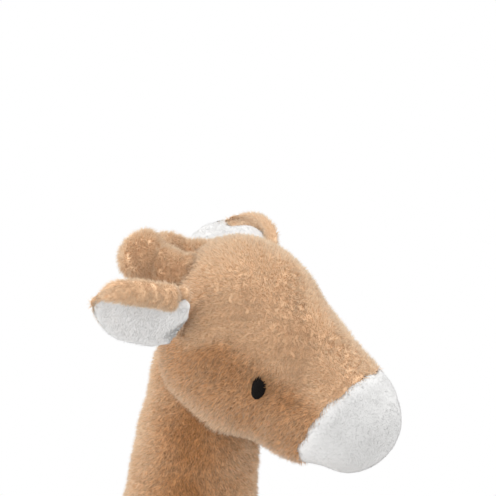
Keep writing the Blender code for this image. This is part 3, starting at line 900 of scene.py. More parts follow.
def stuffed(surface: Surface, hold: Callable[[np.ndarray], np.ndarray]) -> Surface:
    """Let a skin settle as cloth that its filling presses out from inside.

    Every third row and column is simulated as a closed cloth a little larger than the form, under
    pressure and without gravity, held near both tips. What each point then stands out by, less the
    mean and up to a limit, is eased over the whole grid.

    Args:
        surface: Skin whose columns are a multiple of three.
        hold: Says from points how far each may move, from 0, held, to 1, free.
    """
    count, columns = surface.points.shape[:2]
    rows = np.unique(np.append(np.arange(0, count, CLOTH_STEP), count - 1))
    coarse = Surface(surface.points[rows][:, ::CLOTH_STEP])
    triangles, quads = coarse.faces()
    start = coarse.corners()
    mesh = bpy.data.meshes.new("cloth")
    mesh.from_pydata(start.tolist(), [], triangles.tolist() + quads.tolist())
    item = placed("cloth", mesh)
    group = item.vertex_groups.new(name="held")
    edge = 1 + 2 * (columns // CLOTH_STEP)
    group.add([*range(edge), *range(len(start) - edge, len(start))], 1.0, "REPLACE")
    modifier = item.modifiers.new("cloth", "CLOTH")
    modifier.settings.quality = 4
    modifier.settings.use_pressure = True
    modifier.settings.uniform_pressure_force = 4
    modifier.settings.shrink_min = -0.03
    modifier.settings.vertex_group_mass = group.name
    modifier.settings.effector_weights.gravity = 0
    modifier.collision_settings.use_collision = False
    modifier.point_cache.frame_start, modifier.point_cache.frame_end = 1, CLOTH_FRAMES
    for frame in range(CLOTH_FRAMES):
        bpy.context.scene.frame_set(frame + 1)
    seen = item.evaluated_get(bpy.context.evaluated_depsgraph_get())
    settled = np.empty(3 * len(start), np.float32)
    seen.data.vertices.foreach_get("co", settled)
    bpy.context.scene.frame_set(1)
    bpy.data.objects.remove(item)
    bpy.data.meshes.remove(mesh)
    moved = settled.reshape(-1, 3) - start
    body = moved[1:-1].reshape(len(rows) - 2, -1, 3)
    ends = [np.broadcast_to(tip, (1, *body.shape[1:])) for tip in (moved[0], moved[-1])]
    heights = np.sum(np.concatenate((ends[0], body, ends[1])) * coarse.normals(), axis=-1)
    LOG.info("cloth: mean %.2f mm, spread %.2f mm", 1e3 * heights.mean(), 1e3 * heights.std())
    heights = np.clip(heights - heights.mean(), -CLOTH_LIMIT, CLOTH_LIMIT)
    row = np.interp(np.arange(count), rows, np.arange(len(rows)))
    upper = np.minimum(row.astype(int) + 1, len(rows) - 1)
    share = (row % 1)[:, None]
    heights = heights[row.astype(int)] * (1 - share) + heights[upper] * share
    column = np.arange(columns) / CLOTH_STEP
    share = column % 1
    beside = (column.astype(int) + 1) % (columns // CLOTH_STEP)
    heights = heights[:, column.astype(int)] * (1 - share) + heights[:, beside] * share
    return surface.raised(heights * hold(surface.points)).smoothed(1)


def turned(profile: np.ndarray, start: np.ndarray, axis: np.ndarray, sides: int, rows: int) -> Surface:
    """A surface turned about an axis from a profile of distances and radii.

    The profile is laid out again in even steps along its length, and its first and last points,
    which lie on the axis, become the tips.

    Args:
        profile: Rows of distance along the axis and radius.
        start: Point of the axis at distance 0.
        axis: Direction of the axis.
        sides: Columns of the grid.
        rows: Rows of the grid.

    Returns:
        The closed surface.
    """
    steps = np.linalg.norm(np.diff(profile, axis=0), axis=1)
    length = np.concatenate(((0,), np.cumsum(steps)))
    even = np.linspace(0, length[-1], rows)
    distance, radius = (np.interp(even, length, profile[:, k]) for k in (0, 1))
    axis = unit(axis)
    side = unit(np.cross(axis, (0.0, 1.0, 0.0) if abs(axis[1]) < 0.9 else (1.0, 0.0, 0.0)))
    other = np.cross(axis, side)
    turns = around(sides)
    round_trip = np.cos(turns)[:, None] * side + np.sin(turns)[:, None] * other
    rings = start + distance[1:-1, None, None] * axis + radius[1:-1, None, None] * round_trip
    return Surface.from_rings(rings, start + axis * distance[0], start + axis * distance[-1])


def arc(centre: float, radius: float, start_deg: float, end_deg: float, count: int = 40) -> np.ndarray:
    """Profile points of a ball on the axis, from one angle off the axis to another."""
    angles = np.radians(np.linspace(start_deg, end_deg, count))
    return np.column_stack((centre - radius * np.cos(angles), radius * np.sin(angles)))


HEAD_FORM = Balls.along(
    [
        (CROWN, CROWN_RADIUS),
        (CROWN + np.array((0.0, 0.0, -0.018)), CHEEK_RADIUS),
        (CROWN + np.array((0.0, -0.0545, -0.0398)), MUZZLE_RADIUS),
    ]
)
NECK_FORM = Balls.along([(NECK_TOP, NECK_TOP_RADIUS), (SHOULDER, NECK_FOOT_RADIUS)])
BODY_FORM = Balls.along(
    [
        (CHEST, CHEST_RADIUS),
        (CHEST + np.array((0.0, BELLY_BACK, BELLY_DROP)), BELLY_RADIUS),
        (CHEST + np.array((0.0, RUMP_BACK, 0.0)), RUMP_RADIUS),
    ],
    width_share=BODY_WIDTH_SHARE,
)


def inside(form: Balls, margin: float = SINK) -> BareTest:
    """A test for coat() that leaves out fibres whose tips lie deeper than a margin in another form."""
    return lambda roots, tips: form.hold(tips, margin)


def under(height: float) -> BareTest:
    """A test for coat() that leaves out fibres whose tips lie under a height."""
    return lambda roots, tips: tips[:, 2] < height


@dataclass
class Eye:
    """Satin stitched eye: threads laid side by side across a slanted oval."""

    side: Side
    length: float = 0.0100
    width: float = 0.0059
    reach: float = 0.0335
    rise_deg: float = 6.8
    slant_deg: float = 25.0
    threads: int = 23
    thread_radius: float = 0.00033
    swell: float = 0.0011

    def frame(self, skin: BallSkin) -> tuple[np.ndarray, ...]:
        """Where the eye lies on the cheek.

        Args:
            skin: Skin of the head.

        Returns:
            Its centre, and its lengthwise, crosswise and outward directions.
        """
        rise = math.radians(self.rise_deg)
        turn = self.side.value * (math.pi / 2 - rise)
        centre = skin.points(np.array(self.reach), np.array(turn))
        taper = math.asin((CROWN_RADIUS - MUZZLE_RADIUS) / MUZZLE_REACH)
        local = (
            math.sin(taper),
            self.side.value * math.cos(taper) * math.cos(rise),
            math.cos(taper) * math.sin(rise),
        )
        outward = unit(local[0] * skin.ahead + local[1] * skin.aside + local[2] * skin.up)
        slant = math.radians(self.slant_deg)
        lengthwise = flat_part(np.array((0.0, -math.sin(slant), math.cos(slant))), outward)
        return centre, lengthwise, np.cross(outward, lengthwise), outward

    def covers(self, skin: BallSkin, margin: float = 0.0012) -> BareTest:
        """A test for coat() that leaves out fibres rooted under the eye or lying over it.

        Args:
            skin: Skin of the head.
            margin: How much wider than the eye the bare place is at the roots.

        Returns:
            The test.
        """
        centre, lengthwise, crosswise, outward = self.frame(skin)

        def test(roots: np.ndarray, tips: np.ndarray) -> np.ndarray:
            """Which fibres meet the oval grown by the margin, all of it at the roots."""
            over = np.zeros(len(roots), bool)
            for ends, spare in ((roots, margin), ((roots + tips) / 2, margin / 2), (tips, 0.0)):
                offset = ends - centre
                far = (offset @ lengthwise / (self.length / 2 + spare)) ** 2
                wide = (offset @ crosswise / (self.width / 2 + spare)) ** 2
                over |= (far + wide < 1) & (np.abs(offset @ outward) < 0.006)
            return over

        return test

    def build(self, skin: BallSkin) -> bpy.types.Object:
        """Make the stitches.

        A stitch is a tube along an arch: it dives into the fabric at both ends of its chord of
        the oval, and stands highest over the oval's middle. Every second one is a little longer.

        Args:
            skin: Skin of the head.

        Returns:
            The piece.
        """
        centre, lengthwise, crosswise, outward = self.frame(skin)
        rng = np.random.default_rng(5 + self.side.value)
        spread = (np.arange(self.threads) + 0.5) / self.threads * 2 - 1
        chord = np.sqrt(1 - spread**2) * self.width / 2 + 0.0003 * (np.arange(self.threads) % 2)
        chord += rng.uniform(0, 0.0006, self.threads)
        along, steps = np.linspace(-1, 1, 15), around(8)
        place = spread[:, None] * self.length / 2
        slip = 0.32 * chord[:, None] * along
        dome = self.swell * np.sqrt(1 - spread[:, None] ** 2 * 0.9)
        height = -0.0002 + dome * (1 - along**2) + 0.0005 * (1 - along**8) - 0.0012 * along**8
        line = (
            centre
            + (place + slip)[..., None] * lengthwise
            + (chord[:, None] * along)[..., None] * crosswise
            + height[..., None] * outward
        )
        heading = unit(np.gradient(line, axis=1))
        first = unit(np.cross(heading, outward))
        second = np.cross(first, heading)
        thick = self.thread_radius * np.sqrt(1 - 0.55 * along**12)
        spokes = np.cos(steps)[:, None] * first[:, :, None] + np.sin(steps)[:, None] * second[:, :, None]
        rings = line[:, :, None] + spokes * thick[None, :, None, None]
        vertices, triangles, quads, tips, squares, total = [], [], [], [], [], 0
        spare = heading[0] * 1e-5
        for rows, ends in zip(rings, line):
            tube = Surface.from_rings(rows, ends[0] - spare[0], ends[-1] + spare[-1])
            fan, belt = tube.faces()
            fan_places, belt_places = tube.face_places()
            vertices.append(tube.corners())
            triangles.append(fan + total)
            quads.append(belt + total)
            tips.append(fan_places)
            squares.append(belt_places)
            total += len(vertices[-1])
        eye = mesh_object(
            f"eye_{self.side.word}_stitches",
            np.concatenate(vertices),
            np.concatenate(triangles),
            np.concatenate(quads),
            (np.concatenate(tips), np.concatenate(squares)),
            THREAD.material(),
            THREAD_UV,
        )
        return dressed(eye, "head", (f"eye_{self.side.word}",), THREAD.slot)


@dataclass(frozen=True)
class Dent:
    """A place where the head's skin is drawn in: a bell curve along the head, times a share.

    The share goes from its start at the head's middle height to 1 at the rise, by a power. A rise
    below 0 is under the head.
    """

    middle: float
    spread: float
    rise: float
    depth: float
    start: float = 0.0
    power: int = 2

    def pulled(self, far: np.ndarray, high: np.ndarray) -> np.ndarray:
        """How far the skin is drawn in at distances along the head and heights over its middle."""
        share = np.clip(high / self.rise + self.start, 0, 1) ** self.power
        return self.depth * (np.exp(-(((far - self.middle) / self.spread) ** 2)) * share)


@dataclass
class Head:
    """The head: a tan coat to the muzzle seam, a white muzzle, and two stitched eyes."""

    balls: tuple[tuple[float, float, float], ...] = (
        (0.0, 0.0, CROWN_RADIUS),
        (0.010732, -0.014451, CHEEK_RADIUS),
        (MUZZLE_REACH, 0.0018, MUZZLE_RADIUS),
    )
    dip_deg: float = 36.6
    seam_reach: float = 0.0675
    inset: float = 0.0021
    white_inset: float = 0.0011
    columns: int = 192
    rows: int = 128
    muzzle_rows: int = 50
    pile: Pile = Pile(0.0040, 0.00050, 2.7, 36, (0.0, 0.75, -0.55), unrest=0.22, seed=21)
    muzzle_pile: Pile = Pile(
        0.0015, 0.00040, 3.4, 52, (0.0, 0.6, -0.4), unrest=0.10, tangle=0.10, swirl_size=0.006, seed=22
    )
    seam_pile: Pile = Pile(
        0.0025, 0.00050, 1.3, 56, (0.0, 0.8, 0.6), unrest=0.55, swirl_size=0.003, seed=23
    )

    bridge: ClassVar[Dent] = Dent(middle=0.040, spread=0.018, rise=0.03, depth=0.0028)
    chin: ClassVar[Dent] = Dent(middle=0.040, spread=0.014, rise=-0.03, depth=0.0018)
    brow: ClassVar[Dent] = Dent(middle=0.006, spread=0.020, rise=0.038, depth=0.0028)
    nape: ClassVar[Dent] = Dent(middle=-0.040, spread=0.020, rise=-0.02, depth=0.0018, start=1.0, power=1)
    eye_dent: float = 0.0012
    eye_spread: float = 0.009
    crease_depth: float = 0.0017
    crease_width: float = 0.0017
    creases: ClassVar[tuple] = (
        ((-0.0347, 0.0025, 0.0269), (-0.0372, -0.0045, 0.0231)),
        ((-0.0057, -0.0410, -0.0001), (0.0009, -0.0465, 0.0027)),
    )

    def skin(self, inset: float) -> BallSkin:
        """The tight skin over the head's balls, less an inset."""
        dip = math.radians(self.dip_deg)
        ahead = np.array((0.0, -math.cos(dip), -math.sin(dip)))
        return BallSkin(list(self.balls), CROWN, ahead, np.array((1.0, 0.0, 0.0)), inset)

    def seam(self, turns: np.ndarray) -> np.ndarray:
        """Distance of the muzzle seam along the head: furthest back at both cheeks, and wandering.

        Args:
            turns: Turns round the head.

        Returns:
            The distance at each turn.
        """
        cheek = np.abs(np.sin(turns)) ** 1.5
        chin = np.clip(-np.cos(turns), 0, 1)
        wander = 0.0005 * np.sin(turns * 7 + 0.6) + 0.0004 * np.sin(turns * 13)
        return self.seam_reach - 0.0012 - 0.0026 * cheek + 0.0022 * chin + wander

    def shaped(self, surface: Surface, skin: BallSkin) -> Surface:
        """Press the bridge, the chin, the nape and the eye places in, and leave the stuffing uneven.

        Each dent is a bell curve of the distance from its middle, a crease is one of the distance from
        a short line beside an ear's root or on the bridge, and the unevenness is a slow ripple.

        Args:
            surface: The smooth surface.
            skin: Skin of the head without an inset.

        Returns:
            The shaped surface.
        """
        points = surface.points
        offset = points - skin.origin
        far, high = offset @ skin.ahead, offset @ skin.up
        height = 0
        for dent in (self.bridge, self.chin, self.brow, self.nape):
            height = height - dent.pulled(far, high)
        height += surface.waves(0.0005, 0.028, 31)
        for side in Side:
            centre = Eye(side).frame(skin)[0]
            away = np.linalg.norm(points - centre, axis=-1)
            height -= self.eye_dent * np.exp(-((away / self.eye_spread) ** 2))
        for start, end in np.array(self.creases):
            line = end - start
            along = np.clip((offset - start) @ line / (line @ line), 0, 1)
            away = np.linalg.norm(offset - start - along[..., None] * line, axis=-1)
            height -= self.crease_depth * np.exp(-((away / self.crease_width) ** 2))
        height *= np.clip((skin.last - far) / 0.02, 0, 1)
        return surface.raised(height)

    def tone_and_painted_shade(self, points: np.ndarray) -> np.ndarray:
        """Painted shade: how much darker the pile is made on the lower cheek, less under the chin, and
        little above.

        Args:
            points: Points of the tan coat.

        Returns:
            From 0, none, to 1, for each point.
        """
        skin = self.skin(0)
        offset = points - skin.origin
        far, high = offset @ skin.ahead, offset @ skin.up
        line = 0.0095 - 0.017 * np.clip((0.008 - far) / 0.014, 0, 1)
        low = np.clip((line - high) / 0.011 + 0.5, 0, 1)
        chin = np.clip((-high - 0.024) / 0.012, 0, 1)
        return 0.10 + 0.62 * low * low * (3 - 2 * low) * (1 - 0.5 * chin)

    def white_tone_and_painted_light(self, points: np.ndarray) -> np.ndarray:
        """How much darker the muzzle's pile is made: all but the fringe at the seam, left light as painted
        light against the shade among its fibres.

        Args:
            points: Points of the white coat.

        Returns:
            From 0, none, to 1, for each point.
        """
        skin = self.skin(0)
        past = (points - skin.origin) @ skin.ahead - self.seam_reach
        return 0.8 * np.clip((past + 0.001) / 0.006, 0, 1)

    def coat_surface(self) -> Surface:
        """Tan skin from the back of the crown to the seam, closed by a flat disc behind the seam."""
        skin = self.skin(self.inset)
        turns = around(self.columns)
        ease = 1 - np.cos(np.linspace(0, math.pi / 2, self.rows))[1:]
        ease = np.sin(np.linspace(0, math.pi, self.rows) / 2)[1:] * 0.35 + ease * 0.65
        seam = self.seam(turns)
        distances = skin.first + (seam[None, :] - skin.first) * ease[:, None]
        rings = skin.points(distances, np.broadcast_to(turns, distances.shape))
        middle = rings[-1].mean(axis=0)
        rings = np.concatenate((rings, (rings[-1] * 0.9 + middle * 0.1)[None]))
        surface = Surface.from_rings(rings, skin.place(skin.first, skin.first_height), middle)
        return self.shaped(stuffed(surface, self.loose), self.skin(0))

    def loose(self, points: np.ndarray) -> np.ndarray:
        """How freely the tan skin moves: held at the muzzle seam."""
        skin = self.skin(0)
        return np.clip((self.seam_reach - 0.008 - (points - skin.origin) @ skin.ahead) / 0.02, 0, 1)

    def muzzle_surface(self) -> Surface:
        """White skin from the seam to the nose, closed by a flat disc at the seam."""
        skin = self.skin(self.white_inset)
        turns = around(self.columns)
        ease = np.sin(np.linspace(0, math.pi / 2, self.muzzle_rows))[:-1]
        seam = self.seam(turns) + SEAM_GAP
        distances = seam[None, :] + (skin.last - seam[None, :]) * ease[:, None]
        rings = skin.points(distances, np.broadcast_to(turns, distances.shape))
        middle = rings[0].mean(axis=0)
        tuck = np.array((0.985, 0.995, 1.0))[:, None, None]
        rings[:3] = middle + (rings[:3] - middle) * tuck
        rings = np.concatenate(((rings[0] * 0.9 + middle * 0.1)[None], rings))
        surface = Surface.from_rings(rings, middle, skin.place(skin.last, skin.last_height))
        return self.shaped(surface, self.skin(0))

    def build(self) -> list[bpy.types.Object]:
        """Make the coats and the eyes.

        Returns:
            The pieces.
        """
        plain = self.skin(0)
        eyes = [Eye(side) for side in Side]
        tan = coat(
            "head_coat",
            self.coat_surface(),
            [(self.pile, (0.0, 0.982))],
            TAN,
            "head",
            ("head_skin", "head_filling"),
            bare=(inside(NECK_FORM, HEAD_SINK), *(eye.covers(plain) for eye in eyes)),
            tone_and_painted_shade=self.tone_and_painted_shade,
        )
        white = coat(
            "muzzle_coat",
            self.muzzle_surface(),
            [(self.muzzle_pile, (0.04, 1.0)), (self.seam_pile, (0.035, 0.07))],
            WHITE,
            "head",
            ("muzzle_skin",),
            tone_and_painted_shade=self.white_tone_and_painted_light,
        )
        return [tan, white] + [eye.build(plain) for eye in eyes]


@dataclass
class Neck:
    """The neck's coat, in an upper piece that meets the head and a lower one that meets the chest."""

    top_radius: float = NECK_TOP_RADIUS
    foot_radius: float = NECK_FOOT_RADIUS
    base_radius: float = NECK_BASE_RADIUS
    inset: float = 0.0021
    columns: int = 114
    rows: int = 96
    split: float = 0.078
    head_bend: float = 0.045
    shoulder_bend: float = 0.055
    pile: Pile = Pile(0.0040, 0.00050, 2.4, 34, (0.0, 0.0, -1.0), seed=31)

    def surface(self, start: float, end: float) -> Surface:
        """A length of the tapered tube, closed by a ball or a flat disc at each end.

        Args:
            start: Distance of its upper end below the head's pivot.
            end: Distance of its lower end.

        Returns:
            The closed surface, uneven by a slow ripple.
        """
        marks = np.linspace(max(start, 0), min(end, NECK_LENGTH - 0.016), 60)
        share = np.clip(marks / NECK_LENGTH, 0, 1)
        radius = self.top_radius + (self.foot_radius - self.top_radius) * share - self.inset
        tube = np.column_stack((marks, radius))
        if start < 0:
            top = arc(0, self.top_radius - self.inset, 0, 90)
        else:
            top = np.column_stack((np.full(12, marks[0]), np.linspace(0, radius[0], 12)))
        if end > NECK_LENGTH:
            foot = arc(NECK_LENGTH, self.base_radius - self.inset, 80, 180)
        else:
            foot = np.column_stack((np.full(12, marks[-1]), np.linspace(radius[-1], 0, 12)))
        profile = np.concatenate((top[:-1], tube, foot[1:]))
        surface = turned(profile, NECK_TOP, NECK_DOWN, self.columns, self.rows)
        surface = stuffed(surface, self.loose)
        return surface.raised(surface.waves(0.0005, 0.03, 37))

    def loose(self, points: np.ndarray) -> np.ndarray:
        """How freely the skin moves: held where the two pieces meet."""
        return np.clip(np.abs((points - NECK_TOP) @ NECK_DOWN - self.split) / 0.02, 0, 1)

    def tone_and_painted_shade(self, points: np.ndarray) -> np.ndarray:
        """Painted shade: how much darker the pile is made, most on both flanks, a little at the throat,
        least at the nape.

        Args:
            points: Points of the coats.

        Returns:
            From 0, none, to 1, for each point.
        """
        offset = points - NECK_TOP
        facing = unit(offset - (offset @ NECK_DOWN)[:, None] * NECK_DOWN)
        flank = np.clip(np.abs(facing[:, 0]) * 0.9 - facing[:, 1] * 0.42, 0, 1)
        return 0.18 + 0.66 * flank**2.2

    def build(self) -> list[bpy.types.Object]:
        """Make both pieces, which meet partway down the neck.

        Returns:
            The pieces.
        """
        split, skins = self.split, ("neck_skin", "neck_filling")
        surfaces = self.surface(-1, split), self.surface(split - 0.0005, NECK_LENGTH + 0.01)
        bare = (inside(HEAD_FORM), inside(BODY_FORM))
        top = NECK_TOP + NECK_DOWN * 0.016
        foot = SHOULDER + NECK_DOWN * 0.012
        upper = coat(
            "neck_coat_upper",
            surfaces[0],
            [(self.pile, (0.0, 0.80))],
            TAN,
            Bend("neck", "head", top - unit(np.array((0.0, -0.49, 0.87))) * self.head_bend, top),
            skins,
            bare=bare,
            tone_and_painted_shade=self.tone_and_painted_shade,
        )
        lower = coat(
            "neck_coat_lower",
            surfaces[1],
            [(replace(self.pile, seed=32), (0.1, 1.0))],
            TAN,
            Bend("torso", "neck", foot, foot - NECK_DOWN * self.shoulder_bend),
            skins,
            bare=(*bare, lambda roots, tips: (roots - NECK_TOP) @ NECK_DOWN < split + 0.0002),
            tone_and_painted_shade=self.tone_and_painted_shade,
        )
        return [upper, lower]


@dataclass
class Body:
    """The body's coat over chest, belly and rump."""

    balls: tuple[tuple[float, float, float], ...] = (
        (0.0, 0.0, CHEST_RADIUS),
        (BELLY_BACK, BELLY_DROP, BELLY_RADIUS),
        (RUMP_BACK, 0.0, RUMP_RADIUS),
    )
    width_share: float = BODY_WIDTH_SHARE
    inset: float = 0.0022
    columns: int = 120
    rows: int = 120
    pile: Pile = Pile(0.0040, 0.00056, 1.7, 38, (0.0, 0.9, -0.45), seed=41)

    def surface(self) -> Surface:
        """The tight skin, uneven by a slow ripple."""
        ahead, aside = np.array((0.0, 1.0, 0.0)), np.array((-1.0, 0.0, 0.0))
        skin = BallSkin(list(self.balls), CHEST, ahead, aside, self.inset, self.width_share)
        sweep = np.linspace(0, math.pi, self.rows)[1:-1]
        distances = (skin.first + skin.last) / 2 - (skin.last - skin.first) / 2 * np.cos(sweep)
        turns = around(self.columns)
        grid = np.broadcast_to(distances[:, None], (len(distances), self.columns))
        rings = skin.points(grid, np.broadcast_to(turns, grid.shape))
        ends = (skin.place(skin.first, skin.first_height), skin.place(skin.last, skin.last_height))
        surface = stuffed(Surface.from_rings(rings, *ends), lambda points: np.ones(points.shape[:2]))
        return surface.raised(surface.waves(0.0008, 0.045, 43))

    def build(self, legs: list["Leg"]) -> list[bpy.types.Object]:
        """Make the coat, bare where the neck and the legs leave it.

        Args:
            legs: All four legs.

        Returns:
            The one piece.
        """
        neck = Balls.along([(SHOULDER, NECK_BASE_RADIUS), (SHOULDER - NECK_DOWN * 0.02, 0.043)])
        body = coat(
            "body_coat",
            self.surface(),
            [(self.pile, (0.0, 1.0))],
            TAN,
            "torso",
            ("body_skin", "body_filling"),
            bare=(inside(neck), *(inside(leg.form()) for leg in legs)),
        )
        return [body]


@dataclass
class Leg:
    """One leg: a coat from the hip to the foot, and a flat felt sole."""

    end: End
    side: Side
    hip_radius: float = 0.027
    spread: float = 0.0295
    ankle_radius: float = 0.0215
    foot_radius: float = 0.0262
    foot_height: float = 0.040
    foot_edge: float = 0.006
    sole_thickness: float = 0.003
    sole_inset: float = 0.0022
    inset: float = 0.0021
    columns: int = 72
    rows: int = 110
    pile: Pile = Pile(0.0038, 0.00056, 1.7, 38, (0.0, 0.15, -1.0))
    felt: Pile = Pile(0.0009, 0.0004, 0.9, 60, (0.4, 0.3, 0.0), unrest=1.5, swirl_size=0.006, depth=0.0002)

    @property
    def name(self) -> str:
        """The leg's body in the frame."""
        return f"{self.end.word}leg_{self.side.word}"

    def hip(self) -> np.ndarray:
        """Centre of the leg's round top, where it swings."""
        return np.array((self.side.value * self.spread, CHEST[1] + self.end.value, HIP_HEIGHT))

    def form(self) -> Balls:
        """Balls that fill the leg."""
        foot = self.hip() * (1, 1, 0) + np.array((0, 0, self.foot_radius))
        return Balls.along([(self.hip(), self.hip_radius), (foot, self.foot_radius)])

    def surface(self) -> Surface:
        """The turned leg: a ball, a tapering shank, and a foot that swells on a cosine and tucks in.

        Returns:
            The closed surface.
        """
        length = HIP_HEIGHT - self.sole_thickness - SEAM_GAP
        inset = self.inset
        hip = arc(0, self.hip_radius - inset, 0, 102)
        share = np.linspace(0, 1, 30)[1:]
        ankle = length - self.foot_height
        start, wide = hip[-1]
        shank = np.column_stack(
            (start + (ankle - start) * share, wide + (self.ankle_radius - inset - wide) * share)
        )
        swell = (1 - np.cos(math.pi * share)) / 2
        foot = np.column_stack(
            (
                ankle + (self.foot_height - self.foot_edge) * share,
                self.ankle_radius - inset + (self.foot_radius - self.ankle_radius) * swell,
            )
        )
        tuck = np.linspace(0, math.pi / 2, 10)[1:]
        edge = np.column_stack(
            (
                length - self.foot_edge * (1 - np.sin(tuck)),
                self.foot_radius - inset - 0.0015 * (1 - np.cos(tuck)),
            )
        )
        floor = np.column_stack((np.full(8, length), np.linspace(edge[-1, 1], 0, 9)[1:]))
        profile = np.concatenate((hip, shank, foot, edge, floor))
        surface = turned(profile, self.hip(), np.array((0.0, 0.0, -1.0)), self.columns, self.rows)
        surface = stuffed(surface, self.loose)
        seed = 50 + self.side.value + int(self.end.value * 100)
        return surface.raised(surface.waves(0.0005, 0.03, seed) * self.loose(surface.points))

    def loose(self, points: np.ndarray) -> np.ndarray:
        """How freely the skin moves: held round the sole."""
        return np.clip((points[..., 2] - 0.006) / 0.01, 0, 1)

    def sole_surface(self) -> Surface:
        """A turned felt disc with a rounded lower edge, flat underneath."""
        radius = self.foot_radius - self.sole_inset
        turn = np.linspace(0, math.pi / 2, 8)
        height, tuck = 0.0012 * (1 - np.sin(turn))[::-1], 0.0011 * (1 - np.cos(turn))[::-1]
        round_edge = np.column_stack((height, radius - tuck))
        flat = np.column_stack((np.zeros(8), np.linspace(0, round_edge[0, 1], 9)[:-1]))
        top = np.column_stack((np.full(8, self.sole_thickness), np.linspace(radius, 0, 8)))
        profile = np.concatenate((flat, round_edge, top))
        foot = self.hip() * (1, 1, 0)
        return turned(profile, foot, np.array((0.0, 0.0, 1.0)), self.columns, 44)

    def build(self) -> list[bpy.types.Object]:
        """Make the coat and the sole.

        Returns:
            The pieces.
        """
        seed = 60 + 2 * self.side.value + (0 if self.end is End.FORE else 1)
        pile = replace(self.pile, seed=seed)
        felt = replace(self.felt, seed=seed + 20)
        hip = self.hip()
        leg = coat(
            f"{self.name}_coat",
            self.surface(),
            [(pile, (0.04, 0.885))],
            TAN,
            Bend("torso", self.name, hip + (0, 0, 0.006), hip - (0, 0, 0.030)),
            (f"{self.name}_skin", f"{self.name}_filling"),
            bare=(inside(BODY_FORM), under(0.0012)),
        )
        sole = coat(
            f"{self.name}_sole_felt",
            self.sole_surface(),
            [(felt, (0.30, 0.62))],
            TAN,
            self.name,
            (f"{self.name}_sole",),
            bare=(under(0.0002),),
            # Bare skin near the dark root colour: painted shade, standing in for the shade among the
            # felt's fibres.
            skin_tone=0.1,
        )
        return [leg, sole]


@dataclass(frozen=True)
class EarShape:
    """What differs between the two ears.

    Where each sits and how it lies; its length, width and roll; how far its lining reaches beside the
    roll; its free half at the root and where full; how bluntly the rolled and the free side close;
    and how far its tip hangs.
    """

    seat: tuple[float, float, float]
    reach: tuple[float, float, float]
    spread: tuple[float, float, float]
    length: float
    width: float
    roll: float
    lined_share: float
    free_root: float
    free_width: float
    powers: tuple[float, float]
    tip_hang: float


